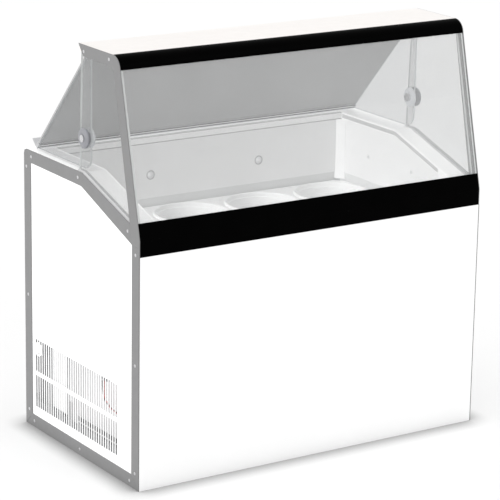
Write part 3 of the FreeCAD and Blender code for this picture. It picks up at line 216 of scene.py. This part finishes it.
SMOKE = surface("smoke_grey_acrylic", (0.375, 0.375, 0.376), 0.22, tint=0.02, tint_scale=3.0, rough_var=0.03, bump=0.0, spec=0.3, alpha=0.95)
CHANNEL = surface("grey_channel", (0.50, 0.50, 0.505), 0.5, tint=0.04, tint_scale=20.0)
HUB = surface("blue_grey_moulding", (0.20, 0.203, 0.22), 0.3, tint=0.05, tint_scale=40.0, bump=0.15, spec=0.5)
HUB_PALE = surface("pale_hub_moulding", (0.52, 0.53, 0.55), 0.3, tint=0.04, tint_scale=40.0, bump=0.15, spec=0.5)
COPPER = surface("bare_copper", (0.72, 0.36, 0.22), 0.32, 0.95, tint=0.14, tint_scale=45.0, rough_var=0.12)
ENAMEL = surface("black_enamel", (0.014, 0.014, 0.015), 0.28, tint=0.2, tint_scale=20.0, speck=0.12, speck_rgb=(0.16, 0.15, 0.14), bump=0.2, bump_scale=500.0, bump_size=0.0001)
FINS = surface("dusty_fins", (0.10, 0.10, 0.105), 0.55, 0.4, tint=0.25, tint_scale=50.0, speck=0.2, speck_rgb=(0.28, 0.26, 0.24))
FAN = surface("fan_moulding", (0.05, 0.05, 0.055), 0.42, tint=0.15, tint_scale=40.0, speck=0.2, speck_rgb=(0.22, 0.21, 0.2))
RED = surface("red_insulation", (0.62, 0.09, 0.07), 0.38, tint=0.10, tint_scale=60.0, bump=0.05)
DIAL = surface("white_dial", (0.86, 0.86, 0.85), 0.28, tint=0.02, bump=0.05, spec=0.5)
BOX = surface("dark_box_moulding", (0.13, 0.13, 0.138), 0.5, tint=0.1, tint_scale=30.0, bump=0.3, bump_scale=500.0, bump_size=0.0001)
BLACK = surface("black_moulding", (0.025, 0.025, 0.026), 0.45, tint=0.12, tint_scale=30.0, bump=0.3, bump_scale=600.0, bump_size=0.0001)
TRAY = surface("tray_white", (0.63, 0.63, 0.633), 0.45, tint=0.04, tint_scale=7.0, speck=0.08, speck_rgb=(0.5, 0.49, 0.47))
slope = math.atan(0.2389)
FRONT_GLASS = pane("front_safety_glass", (0.95, 0.951, 0.951), (0.66, 0.68, 0.675), (0.0, -math.cos(slope), math.sin(slope)), haze=0.12)
SIDE_GLASS = pane("side_safety_glass", (0.895, 0.896, 0.896), (0.68, 0.70, 0.695), (1.0, 0.0, 0.0), haze=0.05)
WING = pane("wing_acrylic", (0.86, 0.862, 0.864), (0.50, 0.52, 0.53), (1.0, 0.0, 0.0), haze=0.06)

# the front sheet ends in a grey bare edge at each upright corner
FRONT_WHITE = surface("front_sheet_white", (0.90, 0.90, 0.90), 0.38, tint=0.012, bump=0.22, bump_scale=1100.0, bump_size=0.00005, spec=0.4)
fw = FRONT_WHITE.node_tree
where = fw.nodes.new("ShaderNodeNewGeometry")
xyz = fw.nodes.new("ShaderNodeSeparateXYZ")
fw.links.new(where.outputs["Position"], xyz.inputs[0])
away = fw.nodes.new("ShaderNodeMath")
away.operation = "ABSOLUTE"
fw.links.new(xyz.outputs["X"], away.inputs[0])
edge_on = fw.nodes.new("ShaderNodeMath")
edge_on.operation = "GREATER_THAN"
edge_on.inputs[1].default_value = 0.5972
fw.links.new(away.outputs[0], edge_on.inputs[0])
skin = next(n for n in fw.nodes if n.type == "BSDF_PRINCIPLED")
plain = skin.inputs["Base Color"].links[0].from_socket
fw.links.new(blend_rgb(fw, edge_on.outputs[0], plain, (0.16, 0.16, 0.16)), skin.inputs["Base Color"])

LOOKS = {
    "frame_rear_posts": GREY, "frame_low_strips": GREY, "frame_front_posts": GREY, "frame_top_rails": GREY,
    "canopy_pillars": GREY, "front_panel": FRONT_WHITE, "side_panel_left": WHITE, "side_panel_right": WHITE,
    "rear_panel": WHITE, "frame_screws": ZINC, "base_pan": DARK, "glide_feet": RUBBER, "compartment_deck": GALV,
    "insulation": FOAM, "liner_tank": LINER, "well_linings_long": PLASTIC, "well_linings_side": PLASTIC,
    "corner_posts": CAP_WHITE, "lining_fixings": BUTTON, "rim_cap_rear": CAP_WHITE, "rim_caps_side": CAP_WHITE,
    "rim_cap_front": CAP_WHITE, "front_trim_lower": BAND, "front_trim_upper": BAND, "front_glass": FRONT_GLASS,
    "front_glass_seal": RUBBER, "top_shelf": WARM, "side_glass_left": SIDE_GLASS, "side_glass_right": SIDE_GLASS,
    "side_glass_channels": CHANNEL, "lid_panel": SMOKE, "lid_bottom_rail": ALU, "lid_top_rail": ALU,
    "lid_seal": RUBBER, "lid_wing_left": WING, "lid_wing_right": WING, "hinge_fixed_discs": HUB,
    "hinge_inner_discs": HUB, "hinge_bolts": ZINC, "tub_plate_left": PLATE, "tub_plate_right": PLATE,
    "plate_ledges": GALV, "evaporator_tube": COPPER, "compressor_shell": ENAMEL, "compressor_feet": ENAMEL,
    "compressor_mounts": RUBBER, "condenser_coil": FINS, "fan_shroud": GALV, "fan_blade": FAN, "fan_motor": ENAMEL,
    "fan_bracket": GALV, "filter_drier": COPPER, "copper_lines": COPPER, "electrics_tray": TRAY, "wiring_loom": RED,
    "thermostat_dial": DIAL, "thermostat_bezel": DIAL, "electrical_boxes": BOX, "power_inlet_gland": BLACK,
    "drain": PLASTIC,
}
for node, obj in N.items():
    obj.data.materials.clear()
    obj.data.materials.append(LOOKS[node])

# ---------------------------------------------------------------------- mesh kit


def piece(name, bm, material, body, smooth=35.0):
    me = bpy.data.meshes.new(name)
    bmesh.ops.recalc_face_normals(bm, faces=bm.faces[:])
    bm.to_mesh(me)
    bm.free()
    me.shade_smooth()
    me.set_sharp_from_angle(angle=math.radians(smooth))
    me.materials.append(material)
    o = bpy.data.objects.new(name, me)
    bpy.context.scene.collection.objects.link(o)
    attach(o, body)
    return o


def axes_for(axis):
    """Two directions square to the axis, and the axis itself."""
    w = Vector(axis).normalized()
    u = Vector((0, 0, 1)) if abs(w.z) < 0.9 else Vector((1, 0, 0))
    u = (u - w * u.dot(w)).normalized()
    return u, w.cross(u), w


def lathe(bm, profile, centre, axis, segs=48, closed=False):
    """Turns (radius, height) points round an axis through centre."""
    u, v, w = axes_for(axis)
    c = Vector(centre)
    rings = []
    for r, h in profile:
        if r < 1e-7:
            rings.append([bm.verts.new(c + w * h)])
        else:
            rings.append([bm.verts.new(c + w * h + (u * math.cos(t) + v * math.sin(t)) * r)
                          for t in (2 * math.pi * k / segs for k in range(segs))])
    pairs = list(zip(rings, rings[1:])) + ([(rings[-1], rings[0])] if closed else [])
    for a, b in pairs:
        if len(a) == 1 and len(b) == 1:
            continue
        for k in range(segs):
            n = (k + 1) % segs
            if len(a) == 1:
                bm.faces.new((a[0], b[k], b[n]))
            elif len(b) == 1:
                bm.faces.new((a[k], b[0], a[n]))
            else:
                bm.faces.new((a[k], b[k], b[n], a[n]))


def rounded(bm, lo, hi, r=0.0008, segs=2):
    """A box with rounded edges."""
    made = bmesh.ops.create_cube(bm, size=1.0)["verts"]
    lo, hi = Vector(lo), Vector(hi)
    for v in made:
        v.co = Vector(((lo[i] + hi[i]) / 2 + v.co[i] * (hi[i] - lo[i]) for i in range(3)))
    edges = list({e for v in made for e in v.link_edges})
    bmesh.ops.bevel(bm, geom=edges, offset=r, segments=segs, profile=0.5, affect="EDGES")


def run(bm, points, section, closed=False):
    """Sweeps a closed section (in the side and up directions) along points."""
    pts = [Vector(p) for p in points]
    rings = []
    for i, p in enumerate(pts):
        a = pts[i - 1] if i or closed else None
        b = pts[(i + 1) % len(pts)] if i + 1 < len(pts) or closed else None
        d1 = (p - a).normalized() if a is not None else None
        d2 = (b - p).normalized() if b is not None else None
        t = (d1 + d2).normalized() if d1 is not None and d2 is not None else (d1 or d2)
        up = Vector((0, 0, 1)) if abs(t.z) < 0.95 else Vector((0, 1, 0))
        side = t.cross(up).normalized()
        up = side.cross(t).normalized()
        rings.append([bm.verts.new(p + side * s + up * h) for s, h in section])
    n = len(section)
    pairs = list(zip(rings, rings[1:])) + ([(rings[-1], rings[0])] if closed else [])
    for a, b in pairs:
        for k in range(n):
            m = (k + 1) % n
            bm.faces.new((a[k], a[m], b[m], b[k]))
    if not closed:
        bm.faces.new(rings[0])
        bm.faces.new(list(reversed(rings[-1])))


def circle(r, n=10, squash=1.0):
    return [(r * math.cos(2 * math.pi * k / n), r * squash * math.sin(2 * math.pi * k / n)) for k in range(n)]


# -------------------------------------------------------------------- screw heads
SCREWS = [(669, 816), (664, 417), (663, 49), (631, 19), (346.5, 18), (53, 17), (22.5, 48), (22.5, 373), (22, 699),
          (639, 851), (353, 851), (66, 759), (316, 1226), (172, 1229)]


def pan_head(bm, centre, axis, r, h):
    """A domed head with a cross recess, its flange face at centre."""
    u, v, w = axes_for(axis)
    c = Vector(centre)
    lathe(bm, [(r, 0.0), (r, h * 0.35), (r * 0.86, h * 0.72), (r * 0.55, h * 0.94), (0.0, h)], centre, axis, 20)
    for turn in (0.0, math.pi / 2):
        a = u * math.cos(turn) + v * math.sin(turn)
        b = -u * math.sin(turn) + v * math.cos(turn)
        q = [c + a * (sx * r * 0.52) + b * (sy * r * 0.11) + w * hz
             for hz in (h * 0.90, h * 1.0) for sx, sy in ((-1, -1), (1, -1), (1, 1), (-1, 1))]
        vs = [bm.verts.new(p) for p in q]
        for f in ((0, 1, 2, 3), (4, 5, 6, 7), (0, 1, 5, 4), (1, 2, 6, 5), (2, 3, 7, 6), (3, 0, 4, 7)):
            bm.faces.new([vs[k] for k in f])


bm = bmesh.new()
for sx in (-1, 1):
    for d, z in SCREWS:
        pan_head(bm, (sx * 0.59900, d * MM - 0.3425, z * MM), (sx, 0, 0), 0.0048, 0.00098)
    for z in (60, 300, 560, 800):
        pan_head(bm, (sx * 0.5885, 0.3415, z * MM), (0, 1, 0), 0.0048, 0.00098)
o = piece("screw_heads", bm, ZINC, "cabinet")
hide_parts("frame_screws")

# --------------------------------------------------------------------- tub plates
PITCH, RI, RO = 0.258, 0.113, 0.121
for side, sx in (("left", -1), ("right", 1)):
    body = side + "_tub_plate"
    lo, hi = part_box("tub_plate_" + side)
    zb, zt = 0.644, 0.650
    x_in, x_out = (0.0006 * sx), (hi.x if sx > 0 else lo.x)
    y0, y1, ch = lo.y, hi.y, 0.026
    outer = [(x_in, y0), (x_out - ch * sx, y0), (x_out, y0 + ch), (x_out, y1 - ch), (x_out - ch * sx, y1), (x_in, y1)]
    centres = [(PITCH * c * sx, 0.009 + PITCH * r) for c in (0.5, 1.5) for r in (-0.5, 0.5)]
    bm = bmesh.new()
    loops = [[bm.verts.new((x, y, zt)) for x, y in outer]]
    for cx, cy in centres:
        loops.append([bm.verts.new((cx + (RI + 0.001) * math.cos(2 * math.pi * k / 72), cy + (RI + 0.001) * math.sin(2 * math.pi * k / 72), zt))
                      for k in range(72)])
    edges = [bm.edges.new((lp[k], lp[(k + 1) % len(lp)])) for lp in loops for k in range(len(lp))]
    bmesh.ops.triangle_fill(bm, use_beauty=True, use_dissolve=False, edges=edges)
    top = bm.faces[:]
    made = bmesh.ops.extrude_face_region(bm, geom=top)["geom"]
    bmesh.ops.translate(bm, vec=(0, 0, zb - zt), verts=[g for g in made if isinstance(g, bmesh.types.BMVert)])
    for cx, cy in centres:
        lathe(bm, [(RI, 0.591), (RI, 0.6535), (RI + 0.0007, 0.6555), (RI + 0.0024, 0.6567), (RI + 0.004, 0.657),
                   (RI + 0.0058, 0.6566), (RI + 0.0073, 0.6553), (RO, 0.6532), (RO, 0.6500), (RO, 0.6442),
                   (RI + 0.002, 0.6442), (RI + 0.002, 0.591)], (cx, cy, 0.0), (0, 0, 1), 72, closed=True)
        # shallow inner step that the tub's lip sits on
        lathe(bm, [(RI + 0.0001, 0.640), (RI - 0.0022, 0.6405), (RI - 0.0026, 0.6415), (RI - 0.0022, 0.6425), (RI + 0.0001, 0.643)],
              (cx, cy, 0.0), (0, 0, 1), 72, closed=True)
    o = piece("tub_plate_moulding_" + side, bm, PLATE, body, 30.0)
    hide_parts("tub_plate_" + side)

# -------------------------------------------------------------------- hinge discs
HUB_AT = Vector((0.0, -0.0115, 0.970))
bm = bmesh.new()
for sx in (-1, 1):
    c = HUB_AT.copy()
    # outer disc on the fixed glass, domed with two turned steps
    lathe(bm, [(0.0062, 0.5884), (0.030, 0.5884), (0.030, 0.5918), (0.0293, 0.5928), (0.0262, 0.5935), (0.0256, 0.5942),
               (0.0208, 0.5949), (0.0200, 0.5957), (0.0135, 0.5960), (0.0125, 0.5953), (0.0062, 0.5953)],
          c, (sx, 0, 0), 56, closed=True)
    # washer between the panes
    lathe(bm, [(0.0062, 0.5784), (0.0200, 0.5784), (0.0200, 0.5816), (0.0062, 0.5816)], c, (sx, 0, 0), 40, closed=True)
o = piece("hinge_outer_discs", bm, HUB, "cabinet")
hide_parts("hinge_fixed_discs")
bm = bmesh.new()
for sx in (-1, 1):
    lathe(bm, [(0.0062, 0.5727), (0.0300, 0.5727), (0.0300, 0.5700), (0.0291, 0.5688), (0.0255, 0.5680), (0.0248, 0.5672),
               (0.0195, 0.5664), (0.0186, 0.5655), (0.0140, 0.5653), (0.0062, 0.5653)],
          HUB_AT, (sx, 0, 0), 56, closed=True)
o = piece("hinge_turning_discs", bm, HUB_PALE, "rear_lid")
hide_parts("hinge_inner_discs")

# --------------------------------------------------------- beads along the rim caps
KINK, REAR_IN = -0.0115, 0.2785


def rail_z(y):
    return 0.870 - 0.3162 * max(0.0, KINK - y)


bm = bmesh.new()
for sx in (-1, 1):
    for inset, drop, r in ((0.0828, 0.0182, 0.0010), (0.0790, -0.0002, 0.0009)):
        x = sx * (0.600 - inset) if drop > 0 else sx * (0.600 - inset)
        pts = [(x, REAR_IN - 0.002, rail_z(KINK) - drop), (x, KINK, rail_z(KINK) - drop), (x, -0.2365 if drop > 0 else -0.3200, rail_z(-0.2365 if drop > 0 else -0.3200) - drop)]
        run(bm, pts, circle(r, 8))
o = piece("rim_cap_beads", bm, CAP_WHITE, "cabinet")
# grey lines along the rear cap's lip edge and top: painted shadow lines where the lip's edges throw shade
bm = bmesh.new()
for y, z, r in ((REAR_IN - 0.0006, 0.8504, 0.0012), (REAR_IN + 0.0005, 0.8700, 0.0010), (REAR_IN + 0.0105, 0.8702, 0.0009)):
    run(bm, [(-0.517, y, z), (0.517, y, z)], circle(r, 8))
piece("rear_cap_painted_shadow_lines", bm, SHADOW_LINE_GREY, "cabinet")
# dark rings round the dome buttons: painted shade outlining each dome
bm = bmesh.new()
for cx in (-0.195, 0.201):
    lathe(bm, [(0.0118, 0.0), (0.0146, 0.0), (0.0146, 0.0009), (0.0118, 0.0009)], (cx, 0.2785, 0.750), (0, -1, 0), 36, closed=True)
piece("button_painted_shade_rings", bm, SHADOW_LINE_GREY, "cabinet")

# grey strip on the inner face of each side lip, under the cap's top edge: painted shade on the lip's inner face
bm = bmesh.new()
for sx in (-1, 1):
    path = [(REAR_IN - 0.0035, rail_z(KINK)), (KINK, rail_z(KINK)), (-0.2365, rail_z(-0.2365))]
    for xa, xb in ((0.5180, 0.51755),):
        rows = []
        for y, z in path:
            rows.append([bm.verts.new((sx * x, y, z - dz)) for x, dz in ((xa, 0.0045), (xb, 0.0045), (xb, 0.0168), (xa, 0.0168))])
        for k in range(len(rows) - 1):
            for n in range(4):
                bm.faces.new((rows[k][n], rows[k][(n + 1) % 4], rows[k + 1][(n + 1) % 4], rows[k + 1][n]))
        bm.faces.new(rows[0])
        bm.faces.new(list(reversed(rows[-1])))
piece("side_lip_painted_shade", bm, LIP_PAINTED_SHADE, "cabinet")

# ------------------------------------------------------------ pull lip on the lid
bm = bmesh.new()
lo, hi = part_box("lid_bottom_rail")
NY, NZ, DY, DZ = 0.7371, 0.6757, -0.6757, 0.7371


def lid_at(x, out, up):
    return (x, HUB_AT.y + (out * NY + up * DY) * MM, HUB_AT.z + (out * NZ + up * DZ) * MM)


for out_, up in ((172.1, -262.2), (172.1, -265.5), (172.1, -268.8), (172.1, -272.0)):
    run(bm, [lid_at(-0.576, out_, up), lid_at(0.576, out_, up)], circle(0.0007, 8))
for sx in (-1, 1):
    # moulded end caps on the extrusion
    q = [(162.4, -278.4), (171.6, -278.4), (171.6, -262.4), (162.4, -262.4)]
    a = [bm.verts.new(lid_at(sx * 0.5750, u_, v_)) for u_, v_ in q]
    b = [bm.verts.new(lid_at(sx * 0.5784, u_, v_)) for u_, v_ in q]
    bm.faces.new(a)
    bm.faces.new(list(reversed(b)))
    for k in range(4):
        bm.faces.new((a[k], b[k], b[(k + 1) % 4], a[(k + 1) % 4]))
o = piece("lid_rail_ribs", bm, ALU, "rear_lid")


def lid_strip(bm, out0, out1, up0, up1, x=0.5765):
    """A flat strip along the lid, given between two depths and two heights."""
    q = [(out0, up0), (out1, up0), (out1, up1), (out0, up1)]
    a = [bm.verts.new(lid_at(-x, o_, u_)) for o_, u_ in q]
    b = [bm.verts.new(lid_at(x, o_, u_)) for o_, u_ in q]
    bm.faces.new(a)
    bm.faces.new(list(reversed(b)))
    for k in range(4):
        bm.faces.new((a[k], b[k], b[(k + 1) % 4], a[(k + 1) % 4]))


# dark strips along the lid rail: painted shadow lines under the rail's top edge and in its grooves
bm = bmesh.new()
lid_strip(bm, 161.2, 162.1, -262.6, -259.2)
lid_strip(bm, 161.2, 162.1, -272.6, -269.6)
lid_strip(bm, 172.9, 173.5, -261.5, -259.2)
piece("lid_rail_painted_shadow_lines", bm, RUBBER, "rear_lid")
# pale strip on the rail's inner face between the dark lines: painted highlight of the rail's lit face
bm = bmesh.new()
lid_strip(bm, 161.6, 162.1, -268.9, -263.4)
piece("lid_rail_painted_highlight_strip", bm, PLASTIC, "rear_lid")

# --------------------------------------------------------------- thermostat knob
KY, KZ = 0.2605, 0.258
bm = bmesh.new()
c = (0.0, KY, KZ)
teeth = 30
u, v, w = axes_for((-1, 0, 0))
ring_a, ring_b = [], []
for k in range(teeth * 4):
    t = 2 * math.pi * k / (teeth * 4)
    r = 0.0138 - (0.0005 if k % 4 in (0, 1) else 0.0)
    d = u * math.cos(t) + v * math.sin(t)
    ring_a.append(bm.verts.new(Vector(c) + w * 0.5912 + d * r))
    ring_b.append(bm.verts.new(Vector(c) + w * 0.5978 + d * (r - 0.0004)))
for k in range(teeth * 4):
    n = (k + 1) % (teeth * 4)
    bm.faces.new((ring_a[k], ring_a[n], ring_b[n], ring_b[k]))
bm.faces.new(list(reversed(ring_a)))
lathe(bm, [(0.0134, 0.5977), (0.0128, 0.5990), (0.0112, 0.5996), (0.0, 0.5996)], c, (-1, 0, 0), 60)
rounded(bm, (-0.5998, KY - 0.0009, KZ - 0.0095), (-0.5990, KY + 0.0009, KZ + 0.0095), 0.0003, 1)
lathe(bm, [(0.003, 0.583), (0.003, 0.5915)], c, (-1, 0, 0), 20)
o = piece("thermostat_knob", bm, DIAL, "thermostat_knob", 30.0)
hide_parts("thermostat_dial")
bm = bmesh.new()
for k in range(11):
    t = math.radians(-135 + 27 * k)
    d = Vector((0.0, math.sin(t), math.cos(t)))
    e = Vector((0.0, math.cos(t), -math.sin(t)))
    a, b = Vector((0, KY, KZ)) + d * 0.0162, Vector((0, KY, KZ)) + d * (0.0198 if k % 5 == 0 else 0.0184)
    q = [a - e * 0.0005, a + e * 0.0005, b + e * 0.0005, b - e * 0.0005]
    f0 = [bm.verts.new((-0.59895, p.y, p.z)) for p in q]
    f1 = [bm.verts.new((-0.5986, p.y, p.z)) for p in q]
    bm.faces.new(f0)
    bm.faces.new(list(reversed(f1)))
    for n in range(4):
        bm.faces.new((f0[n], f0[(n + 1) % 4], f1[(n + 1) % 4], f1[n]))
piece("thermostat_scale_marks", bm, BLACK, "cabinet")

# ------------------------------------------------------- second wire beside the red
X = -0.5400
bm = bmesh.new()
route = [(X - 0.0052, -0.0385, 0.2375), (X - 0.0052, -0.0385, 0.186), (X - 0.0070, -0.078, 0.1705), (X - 0.0070, -0.190, 0.1555),
         (X - 0.0052, -0.2320, 0.101)]
cu = bpy.data.curves.new("black_wire", "CURVE")
cu.dimensions = "3D"
sp = cu.splines.new("NURBS")
sp.points.add(len(route) - 1)
for p, q in zip(sp.points, route):
    p.co = (*q, 1.0)
sp.use_endpoint_u = True
sp.order_u = 3
sp.resolution_u = 8
cu.bevel_depth = 0.0015
cu.bevel_resolution = 3
cu.use_fill_caps = True
cu.materials.append(BLACK)
wire = bpy.data.objects.new("black_wire", cu)
bpy.context.scene.collection.objects.link(wire)
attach(wire, "cabinet")
bm.free()

# ---------------------------------------------------------- inward louvre vanes
bm = bmesh.new()
for x0, x1 in ((-0.540, -0.240), (-0.020, 0.300)):
    for k in range(14):
        z = (64.0 + 16.0 * k) * MM
        yb = 0.3373
        q = [(yb, z + 0.0066), (yb, z + 0.0078), (yb - 0.0062, z + 0.0010), (yb - 0.0062, z - 0.0002)]
        a = [bm.verts.new((x0 - 0.002, y, zz)) for y, zz in q]
        b = [bm.verts.new((x1 + 0.002, y, zz)) for y, zz in q]
        bm.faces.new(a)
        bm.faces.new(list(reversed(b)))
        for n in range(4):
            bm.faces.new((a[n], b[n], b[(n + 1) % 4], a[(n + 1) % 4]))
piece("rear_louvre_vanes", bm, WHITE, "cabinet")

# skirt and rail under the electrics tray, and the closing plate behind it, seen through the side grille
bm = bmesh.new()
rounded(bm, (-0.5216, -0.3000, 0.0640), (-0.5206, 0.1850, 0.0956), 0.0002, 1)
rounded(bm, (-0.5216, -0.3000, 0.0440), (-0.5206, 0.1850, 0.0490), 0.0002, 1)
rounded(bm, (-0.5862, 0.1010, 0.0950), (-0.5850, 0.1850, 0.2980), 0.0002, 1)
piece("tray_skirt", bm, TRAY, "cabinet")

# ------------------------------------------------------------------------ studio
sc = bpy.context.scene
sc.view_settings.view_transform = "Standard"
sc.view_settings.look = "None"
world = bpy.data.worlds.new("studio_white")
sc.world = world
world.use_nodes = True
bg = world.node_tree.nodes["Background"]
bg.inputs["Color"].default_value = (1.0, 1.0, 1.0, 1.0)
bg.inputs["Strength"].default_value = 1.0

fm, fnt, fout = blank("studio_floor_painted_contact_shadow")
fp = fnt.nodes.new("ShaderNodeBsdfPrincipled")
fp.inputs["Roughness"].default_value = 0.9
fp.inputs["Specular IOR Level"].default_value = 0.0
fp.inputs["Base Color"].default_value = (0.735, 0.735, 0.735, 1.0)
fnt.links.new(fp.outputs["BSDF"], fout.inputs["Surface"])
# the floor's colour goes towards dark grey next to the object by an ambient occlusion node: a painted contact shadow
ao = fnt.nodes.new("ShaderNodeAmbientOcclusion")
ao.samples = 24
ao.inputs["Distance"].default_value = 0.075
ao_pow = fnt.nodes.new("ShaderNodeMath")
ao_pow.operation = "POWER"
ao_pow.inputs[1].default_value = 1.5
fnt.links.new(ao.outputs["AO"], ao_pow.inputs[0])
fnt.links.new(blend_rgb(fnt, ao_pow.outputs[0], (0.14, 0.14, 0.14), (0.735, 0.735, 0.735)), fp.inputs["Base Color"])
me = bpy.data.meshes.new("floor")
me.from_pydata([(-40, -40, 0), (40, -40, 0), (40, 60, 0), (-40, 60, 0)], [], [(0, 1, 2, 3)])
me.materials.append(fm)
floor = bpy.data.objects.new("floor", me)
sc.collection.objects.link(floor)
floor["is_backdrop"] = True


def area(name, at, to, size, power):
    l = bpy.data.lights.new(name, "AREA")
    l.shape = "RECTANGLE"
    l.size, l.size_y = size
    l.energy = power
    ob = bpy.data.objects.new(name, l)
    ob.location = at
    ob.rotation_euler = (Vector(to) - Vector(at)).to_track_quat("-Z", "Y").to_euler()
    sc.collection.objects.link(ob)
    return ob


area("softbox_front", (2.6, -4.6, 3.6), (0.1, 0.0, 0.6), (3.0, 2.4), 20.0)
fill = bpy.data.lights.new("fill_left", "SUN")
fill.energy = 2.2
fill.angle = math.radians(50.0)
fill.use_shadow = False
fill_at = bpy.data.objects.new("fill_left", fill)
fill_at.rotation_euler = Vector((0.84, 0.10, -0.52)).to_track_quat("-Z", "Y").to_euler()
sc.collection.objects.link(fill_at)

cam = bpy.data.cameras.new("camera")
cam.sensor_width = 36.0
cam.lens = 174.787
cam.clip_start, cam.clip_end = 0.1, 200.0
camera = bpy.data.objects.new("camera", cam)
right = Vector((0.839295, -0.543429, 0.016372))
up = Vector((0.134933, 0.237379, 0.962))
back = Vector((-0.526665, -0.805193, 0.272558))
rot = Matrix((right, up, back)).transposed().to_4x4()
camera.matrix_world = Matrix.Translation((-3.89927, -5.94979, 2.56656)) @ rot
sc.collection.objects.link(camera)
sc.camera = camera

bpy.context.view_layer.update()
lo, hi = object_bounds()
